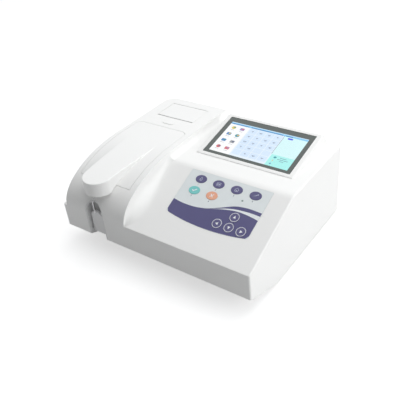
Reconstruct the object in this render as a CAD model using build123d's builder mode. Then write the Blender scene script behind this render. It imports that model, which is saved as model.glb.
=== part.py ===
from build123d import *
import os
from math import atan2, cos, degrees, radians, sin, sqrt

# Semi-automatic biochemistry analyzer.
# Millimetres. +Z is up, -Y is the front that faces the user, +X is to the user's right.
# The origin is on the table, under the middle of the case.

# Overall case
case_width = 376.0
case_depth = 308.0
foot_height = 3.0
shell_wall = 3.0
floor_wall = 2.5
fit_gap = 0.3
running_gap = 0.06
seam_gap = 0.6
edge_radius = 3.0
rear_corner_radius = 14.0

# Console, the right part with the slope
chin_bottom = 33.0
chin_top = 79.0
chin_edge_radius = 1.5
rake_depth = 78.0
console_break = 132.0
console_top = 134.5
break_radius = 30.0

# Optical module, the taller left part
module_inset = 8.0
module_width = 134.0
module_top = 147.5
forehead_depth = 150.0
module_corner_radius = 22.0
base_band_drop = 2.0
blend_swell = 22.0
blend_swell_depth = 40.0

# Flip lid over the measuring chamber
lid_margin = 11.5
lid_front_depth = 38.0
lid_rear_depth = 199.0
lid_corner_radius = 12.0
lid_hinge_depth = 187.0
lid_hinge_drop = 2.6
lid_lug_length = 6.0
beak_bottom = 117.0
beak_tip_depth = 0.5
beak_half_width = 26.5
tongue_half_width = 36.0
tongue_rear_depth = 150.0
tongue_tip_drop = 6.5
beak_gap = 0.8
beak_edge_radius = 1.5
lid_front_chamfer = 1.2
pin_end_gap = 1.5

# Measuring chamber under the lid
tray_floor_height = 97.0
tray_wall = 2.5
tray_side_margin = 4.0
tray_tail_room = 15.0
tray_front_depth = 34.0
tray_rear_depth = 204.0
tray_ledge = 8.0

# Aspiration bay at the front of the module
bay_half_width = 18.0
bay_depth = 20.0
bay_wall = 2.0
bay_arch_height = 83.0
paddle_half_width = 13.5
paddle_top = 83.0
paddle_bottom = 38.0
paddle_thickness = 3.5
paddle_setback = 5.0
paddle_pivot_height = 41.5
paddle_pin_radius = 1.5
paddle_edge_radius = 0.8
paddle_play = 0.08
flag_half_width = 1.5
flag_low = 66.0
flag_high = 72.0
flag_reach = 23.0
sensor_width = 14.0
sensor_length = 10.0
sensor_margin = 4.0
flag_window_half = 3.0
flag_window_margin = 6.0
probe_radius = 0.75
probe_bore = 0.4
probe_exit_height = 108.0
probe_tip_height = 80.0
probe_setback = 3.0
probe_bend_radius = 6.0
probe_rear_depth = 44.0

# Thermal printer behind the lid
printer_depth = 236.0
slot_width = 2.2
slot_length = 81.0
printer_half_width = 44.5
door_edge_radius = 0.5
door_length = 49.0
door_hinge_offset = 5.0
door_tail_gap = 1.0
platen_radius = 5.0
platen_setback = 4.0
platen_drop = 10.5
platen_length = 60.0
platen_shaft_radius = 1.5
ear_thickness = 2.5
ear_radius = 4.0
roll_radius = 20.0
roll_length = 57.0
roll_core_radius = 6.0
roll_play = 0.4
roll_setback = 27.0
frame_wall = 3.0
frame_rim_depth = 19.5
frame_front_room = 13.0
head_width = 56.0
head_thickness = 3.0
head_gap = 1.2
head_low = 130.0
head_high = 143.0
roll_height = 113.0
release_length = 24.0
release_width = 10.0
release_setback = 20.0
release_rise = 0.6
release_flange = 1.5
release_stem = 4.0

# Touch screen in its raised bezel
screen_width = 166.0
screen_height = 97.0
screen_tilt = 11.5
screen_centre_x = 73.0
screen_front_depth = 177.0
screen_front_height = 136.5
screen_corner_radius = 1.5
glass_thickness = 1.8
bezel_side = 9.0
bezel_front = 7.5
bezel_rear = 7.5
bezel_draft = 10.0
bezel_edge_radius = 2.5
display_border_x = 6.0
display_border_y = 6.0
display_thickness = 6.0
glass_seat = 1.2
bezel_lip = 0.4
bezel_window_inset = 6.0
bezel_reach = 40.0

# Keypad on the slope, in the plane of the slope
keypad_width = 151.0
keypad_centre_x = 81.0
keypad_low = 52.0
keypad_high = 138.0
keypad_sag = 8.0
keypad_corner_radius = 5.0
keypad_top_radius = 2.0
overlay_thickness = 0.8
overlay_rise = 0.2
keypad_board_thickness = 1.6
keypad_board_margin = 3.0
key_travel = 0.5
key_rise = 0.5
key_flange = 1.0
key_flange_thickness = 0.8
key_stem_radius = 4.0
key_stem_gap = 0.1
dome_radius = 3.0
dome_height = 0.2
key_edge_radius = 0.3
oval_length = 20.0
oval_width = 15.0
oval_pitch = 33.7
oval_first_x = 31.0
oval_row_high = 123.8
oval_row_low = 101.2
arrow_diameter = 16.5
arrow_pitch = 21.2
arrow_centre_x = 119.8
arrow_row_low = 59.6
arrow_row_high = 78.4
led_x = 116.4
led_height = 109.1
led_diameter = 3.0
led_rise = 0.5

# Optical bench, lamp, flow cell and filter wheel
bench_height = 38.0
bench_thickness = 4.0
bench_front_depth = 96.0
bench_rear_depth = 250.0
bench_margin = 12.0
bench_hole_inset = 8.0
optical_axis_height = 62.0
optical_axis_shift = 8.0
light_bore_radius = 3.0
cell_depth = 172.0
cell_size = 12.2
cell_foot = 10.0
cell_rise = 2.0
cell_cap_width = 20.0
cell_cap_height = 4.0
block_width = 36.0
block_length = 26.0
block_top = 110.0
port_spread = 4.0
port_length = 5.0
lamp_front_depth = 205.0
lamp_box_width = 46.0
lamp_box_length = 42.0
lamp_box_height = 46.0
lamp_box_wall = 3.0
lamp_vent_width = 3.0
lamp_vent_pitch = 7.0
lamp_base_size = 16.0
lamp_base_length = 8.0
bulb_radius = 5.5
bulb_length = 12.0
lens_radius = 9.0
lens_thickness = 5.0
lens_lip = 2.0
wheel_radius = 33.0
wheel_thickness = 4.0
wheel_depth = 146.0
wheel_hub_radius = 8.0
wheel_hub_rise = 1.4
wheel_clearance = 1.0
filter_count = 8
filter_radius = 6.0
filter_circle = 24.0
filter_thickness = 3.0
filter_play = 0.1
filter_motor_radius = 16.5
filter_motor_length = 28.0
motor_gap = 2.0
saddle_width = 28.0
shaft_radius = 2.5
shaft_length = 12.0
detector_radius = 4.6
detector_length = 4.4
detector_plate = 1.6
detector_width = 13.0
detector_rise = 10.0
detector_foot = 10.0

# Peristaltic pump and hoses
pump_shift = 27.0
pump_depth = 88.0
pump_outer_radius = 25.0
pump_track_radius = 20.0
pump_height = 16.0
pump_base = 3.0
tube_radius = 2.0
tube_bore = 1.0
tube_play = 0.3
tube_height = 9.0
roller_radius = 4.0
roller_pin_radius = 1.2
roller_count = 3
disc_radius = 13.0
disc_thickness = 2.0
rotor_hub_radius = 6.0
pump_motor_radius = 16.0
pump_motor_length = 34.0
pump_leg = 32.0
hose_bend = 8.0

# Rear panel and what it carries
panel_left = -36.0
panel_right = 172.0
panel_low = 16.0
panel_high = 116.0
panel_thickness = 1.2
panel_lap = 6.0
entry_x = 124.0
entry_height = 42.0
entry_width = 60.0
entry_tall = 27.0
entry_flange = 2.0
entry_body = 24.0
entry_lip = 2.0
inlet_shift = 14.0
inlet_width = 24.0
inlet_tall = 16.0
inlet_depth = 16.0
inlet_corner = 4.0
inlet_pin_pitch = 7.0
inlet_pin_length = 12.0
fuse_shift = -7.0
fuse_width = 6.4
fuse_tall = 15.0
fuse_length = 18.0
fuse_rise = 0.6
switch_shift = -20.0
switch_width = 12.0
switch_tall = 18.0
switch_tilt = 8.0
switch_axis_depth = 5.0
switch_room = 10.0
rocker_front = 4.2
rocker_back = 2.0
rocker_pin_radius = 1.2
rocker_pin_length = 1.5
fan_x = 120.0
fan_height = 86.0
fan_size = 50.0
fan_depth = 15.0
fan_bore_radius = 24.0
fan_hub_radius = 9.0
fan_blade_count = 7
fan_blade_pitch = 40.0
fan_spoke_width = 4.0
fan_frame_plate = 3.0
fan_corner_radius = 4.0
fan_shaft_radius = 1.5
fan_tip_gap = 1.0
fan_blade_chord = 11.0
fan_blade_thickness = 1.2
vent_pitch = 6.0
vent_width = 3.0
vent_count = 7
vent_length = 34.0
vent_x = 20.0
serial_x = 22.0
serial_width = 31.0
serial_tall = 12.5
usb_x = -4.0
usb_width = 14.5
usb_tall = 7.0
port_height = 42.0
port_body = 12.0
serial_wall = 6.0
usb_wall = 1.2
waste_x = -22.0
waste_height = 42.0
fitting_radius = 3.0
fitting_flange = 6.0
barb_radius = 2.4
nut_thickness = 2.5
waste_turn_depth = 275.0
waste_run_height = 56.0

# Electronics
board_size = (84.0, 104.0)
board_centre = (2.0, 190.0)
supply_size = (96.0, 62.0)
supply_centre = (108.0, 196.0)
board_thickness = 1.6
board_standoff = 8.0
board_inset = 4.0
standoff_radius = 3.5
capacitor_radius = 8.0
capacitor_height = 22.0
# parts on the boards: place from the board's centre, then width, length and height
main_board_chips = [
    (-14.0, 12.0, 24.0, 24.0, 2.4),
    (18.0, 20.0, 14.0, 20.0, 1.8),
    (18.0, -8.0, 14.0, 20.0, 1.8),
    (-20.0, -22.0, 10.0, 16.0, 1.8),
    (0.0, -40.0, 50.0, 8.0, 9.0),
    (-34.0, 2.0, 6.0, 60.0, 9.0),
]
supply_blocks = [
    (-6.0, 4.0, 30.0, 28.0, 24.0),
    (30.0, 0.0, 6.0, 50.0, 26.0),
    (-38.0, -16.0, 10.0, 20.0, 12.0),
]
supply_capacitors = [(-30.0, 14.0), (18.0, -18.0)]

# Feet and screws
foot_radius = 9.0
foot_inset = 26.0
foot_front_depth = 92.0
foot_edge_radius = 0.8
screw_radius = 2.0
screw_head_radius = 3.8
screw_head_height = 2.4
screw_length = 18.0
boss_radius = 4.5
boss_height = 8.0

# Places that follow from the sizes above
left = -case_width / 2
right = case_width / 2
front = -case_depth / 2
rear = case_depth / 2
module_left = left + module_inset
module_right = module_left + module_width
module_centre = (module_left + module_right) / 2
band_top = chin_top - base_band_drop
lid_left = module_left + lid_margin
lid_right = module_right - lid_margin
slope_angle = degrees(atan2(console_top - chin_top, console_break))
slope_sin = sin(radians(slope_angle))
slope_cos = cos(radians(slope_angle))
bay_left = module_centre - bay_half_width - bay_wall
inner_left = module_left + shell_wall
inner_right = right - shell_wall
cut_low = -20.0
cut_high = module_top + 60.0

slope_plane = Plane(
    origin=(0, front, chin_top), x_dir=(1, 0, 0), z_dir=(0, -slope_sin, slope_cos)
)
tilt_sin = sin(radians(screen_tilt))
tilt_cos = cos(radians(screen_tilt))
screen_plane = Plane(
    origin=(screen_centre_x, front + screen_front_depth, screen_front_height),
    x_dir=(1, 0, 0),
    z_dir=(0, -tilt_sin, tilt_cos),
)

parts = {}


def keep(builder, name):
    """Label a finished piece and remember it for export."""
    builder.part.label = name
    parts[name] = builder.part


def block(x_span, y_span, z_span, mode=Mode.ADD):
    """A rectangular block between two opposite corners."""
    low = (min(x_span), min(y_span), min(z_span))
    size = (abs(x_span[1] - x_span[0]), abs(y_span[1] - y_span[0]), abs(z_span[1] - z_span[0]))
    with Locations(low):
        Box(*size, align=(Align.MIN, Align.MIN, Align.MIN), mode=mode)


def rod(start, direction, radius, length, mode=Mode.ADD):
    """A round bar, or a round hole, from a start point along a direction."""
    with Locations(Plane(origin=start, z_dir=direction)):
        Cylinder(radius, length, align=(Align.CENTER, Align.CENTER, Align.MIN), mode=mode)


def underside(y):
    """Height of the underside at a place along the depth."""
    climb = (front + rake_depth - y) / rake_depth
    return foot_height + max(0.0, climb) * (chin_bottom - foot_height)


def forehead(y, inset=0.0):
    """Height of the module's curved top at a place along the depth."""
    half_length = forehead_depth - inset
    rise = module_top - chin_top - inset
    reach = min(0.0, y - (front + forehead_depth)) / half_length
    return chin_top + rise * sqrt(max(0.0, 1 - reach * reach))


def slope_height(y):
    """Height of the sharp console outline at a place along the depth."""
    return chin_top + (console_top - chin_top) * min(1.0, (y - front) / console_break)


def console_face(x, inset=0.0):
    """Side outline of the console, moved in by inset, open far below the case."""
    with BuildSketch(Plane.YZ.offset(x)) as outline:
        with BuildLine():
            Polyline(
                (front, cut_low),
                (front, chin_top),
                (front + console_break, console_top),
                (rear, console_top),
                (rear, cut_low),
                close=True,
            )
        make_face()
        corners = outline.vertices()
        fillet(corners.filter_by_position(Axis.X, front + 1, rear - 1), radius=break_radius)
        chin = outline.vertices().filter_by_position(Axis.Y, chin_top - 1, chin_top + 1)
        fillet(chin.sort_by(Axis.X)[0], radius=chin_edge_radius)
        if inset > 0:
            offset(amount=-inset, kind=Kind.INTERSECTION)
    return outline.sketch


def module_face(x, inset=0.0, bottom=cut_low):
    """Side outline of the module: upright front, elliptical forehead and flat top."""
    with BuildSketch(Plane.YZ.offset(x)) as outline:
        with BuildLine():
            Line((front + inset, bottom), (front + inset, chin_top))
            EllipticalCenterArc(
                (front + forehead_depth, chin_top),
                forehead_depth - inset,
                module_top - chin_top - inset,
                start_angle=180,
                arc_size=-90,
            )
            Polyline(
                (front + forehead_depth, module_top - inset),
                (rear - inset, module_top - inset),
                (rear - inset, bottom),
                (front + inset, bottom),
            )
        make_face()
    return outline.sketch


def under_face(x, lift=0.0):
    """Everything below the underside, raised by lift."""
    with BuildSketch(Plane.YZ.offset(x)) as outline:
        with BuildLine():
            Polyline(
                (front - 40, cut_low - 20),
                (front - 40, underside(front - 40) + lift),
                (front + rake_depth, foot_height + lift),
                (rear + 40, foot_height + lift),
                (rear + 40, cut_low - 20),
                close=True,
            )
        make_face()
    return outline.sketch


def blend_section(depth, base, radius):
    """Cross-section of the hollow blend where the module rises from the console."""
    plane = Plane(origin=(module_right, front + depth, base), x_dir=(1, 0, 0), z_dir=(0, -1, 0))
    with BuildSketch(plane) as section:
        with BuildLine():
            Polyline((0, radius), (-1, radius), (-1, -1), (radius, -1), (radius, 0))
            RadiusArc((radius, 0), (0, radius), radius)
        make_face()
    return section.sketch.face()


# Upper case
# The rise of the module above the console sets the blend radius behind the slope.
blend_radius = module_top - console_top - edge_radius

with BuildPart() as console_body:
    extrude(console_face(module_centre), amount=right - module_centre)
    fillet(
        console_body.edges()
        .filter_by(Axis.Z)
        .filter_by_position(Axis.Y, rear - 1, rear + 1)
        .sort_by(Axis.X)[-1],
        radius=rear_corner_radius,
    )
    rim = (
        console_body.faces()
        .filter_by(Axis.X)
        .sort_by(Axis.X)[-1]
        .edges()
        .filter_by_position(Axis.Z, chin_top - 0.1, console_top + 1)
    )
    fillet(rim.sort_by(Axis.Z)[-1], radius=edge_radius)

with BuildPart() as module_body:
    extrude(module_face(module_left), amount=module_width)
    uprights = module_body.edges().filter_by(Axis.Z).filter_by_position(Axis.Y, rear - 1, rear + 1)
    fillet(uprights.sort_by(Axis.X)[0], radius=module_corner_radius)
    fillet(module_body.faces().sort_by(Axis.Z)[-1].edges().sort_by(Axis.Y)[-1], radius=edge_radius)

with BuildPart() as blend_body:
    loft(
        [
            blend_section(1.0, slope_height(front + 1.0), 0.8),
            blend_section(
                blend_swell_depth / 4, slope_height(front + blend_swell_depth / 4), blend_swell * 0.6
            ),
            blend_section(blend_swell_depth, slope_height(front + blend_swell_depth), blend_swell),
            blend_section(console_break, console_top, blend_radius),
        ]
    )
    extrude(
        blend_section(console_break, console_top, blend_radius),
        amount=-(case_depth - console_break),
    )


with BuildPart() as blend_trimmed:
    add(blend_body.part)
    extrude(
        module_face(module_right - edge_radius),
        amount=blend_swell + edge_radius + 10,
        mode=Mode.INTERSECT,
    )

with BuildPart() as outer_form:
    add(module_body.part)
    add(console_body.part)
    add(blend_trimmed.part)
    extrude(under_face(left - 10), amount=case_width + 20, mode=Mode.SUBTRACT)

with BuildPart() as inner_form:
    extrude(module_face(inner_left, shell_wall), amount=module_width - 2 * shell_wall)
    extrude(console_face(module_centre, shell_wall), amount=inner_right - module_centre)
    uprights = inner_form.edges().filter_by(Axis.Z)
    uprights = uprights.filter_by_position(Axis.Y, rear - shell_wall - 1, rear).sort_by(Axis.X)
    fillet(uprights[0], radius=module_corner_radius - shell_wall)
    fillet(uprights[-1], radius=rear_corner_radius - shell_wall)

# Feet, case screws and the posts above them stand on four common places
post_left_x = inner_left + boss_radius + fit_gap
post_right_x = right - foot_inset
foot_rear_y = rear - foot_inset
foot_front_y = front + foot_front_depth
foot_places = [
    (post_left_x, foot_front_y),
    (post_left_x, foot_rear_y),
    (post_right_x, foot_front_y),
    (post_right_x, foot_rear_y),
]
boss_top = foot_height + floor_wall + boss_height
post_left_top = tray_floor_height - 3.0

# Openings of the module roof
lid_hinge_y = front + lid_hinge_depth
lid_hinge_z = module_top - lid_hinge_drop
lug_radius = lid_hinge_drop
pin_radius = 1.0
door_left = module_centre - slot_length / 2
door_right = module_centre + slot_length / 2
door_front_y = front + printer_depth
door_rear_y = door_front_y + door_length
door_hinge_y = door_rear_y - door_hinge_offset
release_y = door_front_y - release_setback


def lid_plan(grow, height):
    """Plan outline of the lid with rounded rear corners, grown by a gap."""
    with BuildSketch(Plane.XY.offset(height)) as plan:
        with BuildLine():
            Polyline(
                (lid_left - grow, front + lid_front_depth - grow),
                (lid_right + grow, front + lid_front_depth - grow),
                (lid_right + grow, front + lid_rear_depth + grow),
                (lid_left - grow, front + lid_rear_depth + grow),
                close=True,
            )
        make_face()
        fillet(plan.vertices().group_by(Axis.Y)[-1], radius=lid_corner_radius + grow)
    return plan.sketch


def bay_face(grow, setback=0.0):
    """Arch outline of the aspiration bay in a plane parallel to the front."""
    radius = bay_half_width + grow
    plane = Plane(origin=(module_centre, front + setback, 0), x_dir=(1, 0, 0), z_dir=(0, -1, 0))
    with BuildSketch(plane) as arch:
        with BuildLine():
            Polyline(
                (radius, bay_arch_height),
                (radius, cut_low),
                (-radius, cut_low),
                (-radius, bay_arch_height),
            )
            ThreePointArc(
                (-radius, bay_arch_height), (0, bay_arch_height + radius), (radius, bay_arch_height)
            )
        make_face()
    return arch.sketch


def keypad_face(grow, level):
    """Outline of the keypad film in a plane parallel to the slope."""
    low_x = keypad_centre_x - keypad_width / 2 - grow
    high_x = keypad_centre_x + keypad_width / 2 + grow
    with BuildSketch(slope_plane.offset(level)) as film:
        with BuildLine():
            Polyline(
                (low_x, keypad_low),
                (low_x, keypad_high + grow),
                (high_x, keypad_high + grow),
                (high_x, keypad_low),
            )
            ThreePointArc(
                (high_x, keypad_low),
                (keypad_centre_x, keypad_low - keypad_sag - grow),
                (low_x, keypad_low),
            )
        make_face()
        fillet(film.vertices().group_by(Axis.Y)[-1], radius=keypad_top_radius)
        low_corners = film.vertices().sort_by_distance((keypad_centre_x, keypad_high))
        fillet(low_corners[-2:], radius=keypad_corner_radius)
    return film.sketch


def screen_face(width, height, level, radius=0.0, shift=0.0):
    """Rectangle in a plane parallel to the screen, centred on the glass."""
    with BuildSketch(screen_plane.offset(level)) as frame:
        with Locations((0, screen_height / 2 + shift)):
            if radius > 0:
                RectangleRounded(width, height, radius)
            else:
                Rectangle(width, height)
    return frame.sketch


display_width = screen_width - display_border_x
display_height = screen_height - display_border_y
floor_top = foot_height + floor_wall
bay_cut = bay_depth + 2 * bay_wall + fit_gap
paddle_axis_y = front + paddle_setback + paddle_thickness / 2
head_back_y = door_front_y + platen_setback - platen_radius - head_gap - head_thickness
switch_axis_y = rear - shell_wall + entry_flange - switch_axis_depth
hinge_places = [
    (-1, lid_left, lid_hinge_y),
    (1, lid_right, lid_hinge_y),
    (-1, door_left, door_hinge_y),
    (1, door_right, door_hinge_y),
]


def band_limit():
    """Plan outline of the whole case, with its rounded rear corners and front left corner."""
    with BuildSketch(Plane.XY.offset(2 * cut_low)) as plan:
        with BuildLine():
            Polyline((left, front), (right, front), (right, rear), (left, rear), close=True)
        make_face()
        rear_corners = plan.vertices().group_by(Axis.Y)[-1].sort_by(Axis.X)
        fillet(rear_corners[0], radius=module_corner_radius)
        fillet(plan.vertices().group_by(Axis.Y)[-1].sort_by(Axis.X)[-1], radius=rear_corner_radius)
        fillet(plan.vertices().group_by(Axis.Y)[0].sort_by(Axis.X)[0], radius=edge_radius)
    return plan.sketch


# Keys of the keypad, in the plane of the slope
key_places = {}
for index in range(4):
    key_places[f"key_{index + 1}"] = (oval_first_x + oval_pitch * index, oval_row_high)
for index in range(2):
    key_places[f"key_{index + 5}"] = (oval_first_x + oval_pitch * index, oval_row_low)
arrow_places = {
    "key_up": (arrow_centre_x, arrow_row_high),
    "key_left": (arrow_centre_x - arrow_pitch, arrow_row_low),
    "key_down": (arrow_centre_x, arrow_row_low),
    "key_right": (arrow_centre_x + arrow_pitch, arrow_row_low),
}


def oval_face(place, grow, level):
    """Outline of an oval key, grown by a gap, in a plane parallel to the slope."""
    with BuildSketch(slope_plane.offset(level)) as face:
        with Locations(place):
            Ellipse(oval_length / 2 + grow, oval_width / 2 + grow)
    return face.sketch


def arrow_face(place, grow, level):
    """Outline of a round key, grown by a gap, in a plane parallel to the slope."""
    with BuildSketch(slope_plane.offset(level)) as face:
        with Locations(place):
            Circle(arrow_diameter / 2 + grow)
    return face.sketch


def spot_face(place, radius, level):
    """A round spot in a plane parallel to the slope."""
    with BuildSketch(slope_plane.offset(level)) as face:
        with Locations(place):
            Circle(radius)
    return face.sketch


def arrow_window(grow, level):
    """Common opening behind the four round keys."""
    row_width = arrow_diameter + 2 * grow
    rows_apart = arrow_row_high - arrow_row_low
    with BuildSketch(slope_plane.offset(level)) as face:
        with Locations((arrow_centre_x, arrow_row_low)):
            SlotOverall(2 * arrow_pitch + row_width, row_width)
        with Locations((arrow_centre_x, (arrow_row_low + arrow_row_high) / 2)):
            SlotOverall(rows_apart + row_width, row_width, rotation=90)
    return face.sketch


with BuildPart() as upper_case:
    add(outer_form.part)
    add(inner_form.part, mode=Mode.SUBTRACT)
    # posts for the case screws
    for post_x, post_y in foot_places:
        post_top = post_left_top if post_x < 0 else slope_height(post_y) - shell_wall / 2
        rod((post_x, post_y, boss_top), (0, 0, 1), boss_radius, post_top - boss_top)
    # bosses that carry the hinge pins of the lid and of the printer door
    for side, edge, pin_y in hinge_places:
        start = edge + side * seam_gap
        rod((start, pin_y, lid_hinge_z), (side, 0, 0), lug_radius, lid_lug_length)
        block(
            (start, start + side * lid_lug_length),
            (pin_y - lug_radius, pin_y + lug_radius),
            (lid_hinge_z, module_top - shell_wall / 2),
        )
    # lid opening, printer door opening and the hole for the release button
    extrude(lid_plan(seam_gap, tray_floor_height), amount=cut_high, mode=Mode.SUBTRACT)
    block(
        (door_left - seam_gap, door_right + seam_gap),
        (door_front_y - slot_width, door_rear_y + door_tail_gap),
        (module_top - 2 * shell_wall, cut_high),
        mode=Mode.SUBTRACT,
    )
    with BuildSketch(Plane.XY.offset(module_top - 2 * shell_wall)):
        with Locations((module_centre, release_y)):
            SlotOverall(release_length + 2 * fit_gap, release_width + 2 * fit_gap)
    extrude(amount=4 * shell_wall, mode=Mode.SUBTRACT)
    # screen window, keypad seat and the holes behind the keys
    extrude(
        screen_face(display_width + 2 * fit_gap, display_height + 2 * fit_gap, -bezel_reach),
        amount=2 * bezel_reach,
        mode=Mode.SUBTRACT,
    )
    extrude(
        keypad_face(fit_gap, overlay_rise - overlay_thickness),
        amount=4 * shell_wall,
        mode=Mode.SUBTRACT,
    )
    for place in key_places.values():
        extrude(
            oval_face(place, key_flange + fit_gap, -2 * shell_wall),
            amount=4 * shell_wall,
            mode=Mode.SUBTRACT,
        )
    extrude(
        arrow_window(key_flange + fit_gap, -2 * shell_wall),
        amount=4 * shell_wall,
        mode=Mode.SUBTRACT,
    )
    extrude(
        spot_face((led_x, led_height), led_diameter / 2 + fit_gap, -2 * shell_wall),
        amount=4 * shell_wall,
        mode=Mode.SUBTRACT,
    )
    # aspiration bay, probe hole and the rear opening
    extrude(bay_face(bay_wall + fit_gap, -bay_wall), amount=-bay_cut, mode=Mode.SUBTRACT)
    rod(
        (module_centre, front - bay_wall, probe_exit_height),
        (0, 1, 0),
        probe_radius + running_gap,
        forehead_depth / 2,
        mode=Mode.SUBTRACT,
    )
    block(
        (panel_left + panel_lap, panel_right - panel_lap),
        (rear - 2 * shell_wall, rear + shell_wall),
        (panel_low + panel_lap, panel_high - panel_lap),
        mode=Mode.SUBTRACT,
    )
    # the lower case takes over below the band on the left
    block(
        (left - shell_wall, module_left + module_corner_radius),
        (front - shell_wall, rear + shell_wall),
        (cut_low, band_top),
        mode=Mode.SUBTRACT,
    )
    block(
        (left - shell_wall, bay_left - fit_gap),
        (front - shell_wall, front + shell_wall),
        (cut_low, band_top),
        mode=Mode.SUBTRACT,
    )
    # the cut above also took the left posts' feet, so they are put back with a web to the wall
    for post_x, post_y in foot_places[:2]:
        rod((post_x, post_y, boss_top), (0, 0, 1), boss_radius, post_left_top - boss_top)
        block(
            (inner_left - fit_gap, post_x),
            (post_y - screw_radius, post_y + screw_radius),
            (band_top + fit_gap, post_left_top),
        )
    for post_x, post_y in foot_places:
        rod(
            (post_x, post_y, boss_top - 1),
            (0, 0, 1),
            screw_radius + running_gap,
            screw_length - boss_height + shell_wall,
            mode=Mode.SUBTRACT,
        )
    for side, edge, pin_y in hinge_places:
        rod(
            (edge, pin_y, lid_hinge_z),
            (side, 0, 0),
            pin_radius,
            seam_gap + lid_lug_length - 1,
            mode=Mode.SUBTRACT,
        )

keep(upper_case, "upper_case")


# Lower case, with the band on the left
def band_plan(inset):
    """Plan outline of the band on the left, rounded at its two outer corners."""
    with BuildSketch(Plane.XY.offset(cut_low)) as plan:
        with BuildLine():
            Polyline(
                (left + inset, front + inset),
                (bay_left - fit_gap, front + inset),
                (bay_left - fit_gap, rear - inset),
                (left + inset, rear - inset),
                close=True,
            )
        make_face()
        outer = plan.vertices().group_by(Axis.X)[0].sort_by(Axis.Y)
        fillet(outer[-1], radius=module_corner_radius - inset)
        front_corner = plan.vertices().group_by(Axis.X)[0].sort_by(Axis.Y)[0]
        fillet(front_corner, radius=edge_radius - inset / 2)
    return plan.sketch


bench_left = inner_left + bench_margin
bench_right = module_right - bench_margin
bench_front_y = front + bench_front_depth
bench_rear_y = front + bench_rear_depth
bench_top = bench_height + bench_thickness
bench_places = []
for place_x in (bench_left + bench_hole_inset, bench_right - bench_hole_inset):
    for place_y in (bench_front_y + bench_hole_inset, bench_rear_y - bench_hole_inset):
        bench_places.append((place_x, place_y))


def corner_places(centre, size):
    """The four screw places of a board, from its centre as width and depth."""
    places = []
    for side_x in (-1, 1):
        for side_y in (-1, 1):
            place_x = centre[0] + side_x * (size[0] / 2 - board_inset)
            place_y = front + centre[1] + side_y * (size[1] / 2 - board_inset)
            places.append((place_x, place_y))
    return places


band_ledge = module_inset + shell_wall

with BuildPart() as lower_case:
    extrude(under_face(left, floor_wall), amount=inner_right - fit_gap - left)
    with BuildSketch(Plane.XY.offset(2 * cut_low - foot_height)) as floor_plan:
        with BuildLine():
            Polyline(
                (left + shell_wall / 2, front + shell_wall / 2),
                (bay_left - fit_gap, front + shell_wall / 2),
                (bay_left - fit_gap, front + shell_wall + fit_gap),
                (inner_right - fit_gap, front + shell_wall + fit_gap),
                (inner_right - fit_gap, rear - shell_wall - fit_gap),
                (left + shell_wall / 2, rear - shell_wall - fit_gap),
                close=True,
            )
        make_face()
        fillet(
            floor_plan.vertices().group_by(Axis.Y)[-1].sort_by(Axis.X)[-1],
            radius=rear_corner_radius - shell_wall,
        )
        fillet(
            floor_plan.vertices().group_by(Axis.X)[0].sort_by(Axis.Y)[-1],
            radius=module_corner_radius - shell_wall / 2,
        )
    extrude(amount=cut_high, mode=Mode.INTERSECT)
    # band wall with its ledge, on the left and round both corners
    extrude(band_plan(0), amount=band_top - cut_low)
    extrude(band_plan(shell_wall), amount=band_top - cut_low - shell_wall, mode=Mode.SUBTRACT)
    block(
        (left + band_ledge, bay_left),
        (front + band_ledge, rear - band_ledge),
        (band_top - 2 * shell_wall, band_top + 1),
        mode=Mode.SUBTRACT,
    )
    block(
        (module_left + module_corner_radius - fit_gap, bay_left + 1),
        (rear - band_ledge - 1, rear + 1),
        (floor_top, band_top + 1),
        mode=Mode.SUBTRACT,
    )
    # floor again, because the hollow of the band reached through it
    extrude(under_face(left + shell_wall / 2, floor_wall), amount=bay_left - fit_gap - left - shell_wall / 2)
    block(
        (module_left + module_corner_radius - fit_gap, bay_left + 1),
        (rear - shell_wall - fit_gap, rear + 1),
        (cut_low, band_top + 1),
        mode=Mode.SUBTRACT,
    )
    # standoffs for the optical bench, the main board and the power supply
    for place_x, place_y in bench_places:
        rod((place_x, place_y, foot_height), (0, 0, 1), boss_radius, bench_height - foot_height)
    for centre, size in ((board_centre, board_size), (supply_centre, supply_size)):
        for place_x, place_y in corner_places(centre, size):
            rod(
                (place_x, place_y, foot_height),
                (0, 0, 1),
                standoff_radius,
                floor_wall + board_standoff,
            )
    # bosses of the case screws, bored from below
    for post_x, post_y in foot_places:
        rod((post_x, post_y, foot_height), (0, 0, 1), boss_radius + 1.5, boss_top - foot_height)
    extrude(under_face(left - 1), amount=case_width + 2, mode=Mode.SUBTRACT)
    extrude(band_limit(), amount=cut_high, mode=Mode.INTERSECT)
    extrude(bay_face(bay_wall + fit_gap, -bay_wall), amount=-bay_cut, mode=Mode.SUBTRACT)
    for post_x, post_y in foot_places:
        rod(
            (post_x, post_y, 0),
            (0, 0, 1),
            screw_radius + fit_gap,
            boss_top + 1,
            mode=Mode.SUBTRACT,
        )
        rod(
            (post_x, post_y, 0),
            (0, 0, 1),
            screw_head_radius + fit_gap,
            floor_top,
            mode=Mode.SUBTRACT,
        )

keep(lower_case, "lower_case")

with BuildPart() as feet:
    with BuildSketch(Plane.XY):
        with Locations(*foot_places):
            Circle(foot_radius)
            Circle(screw_head_radius + 1.0, mode=Mode.SUBTRACT)
    extrude(amount=foot_height)
    rims = feet.edges().filter_by(GeomType.CIRCLE).group_by(Axis.Z)[0]
    fillet(rims.filter_by(lambda edge: edge.radius > foot_radius - 0.1), radius=foot_edge_radius)
keep(feet, "feet")

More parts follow.
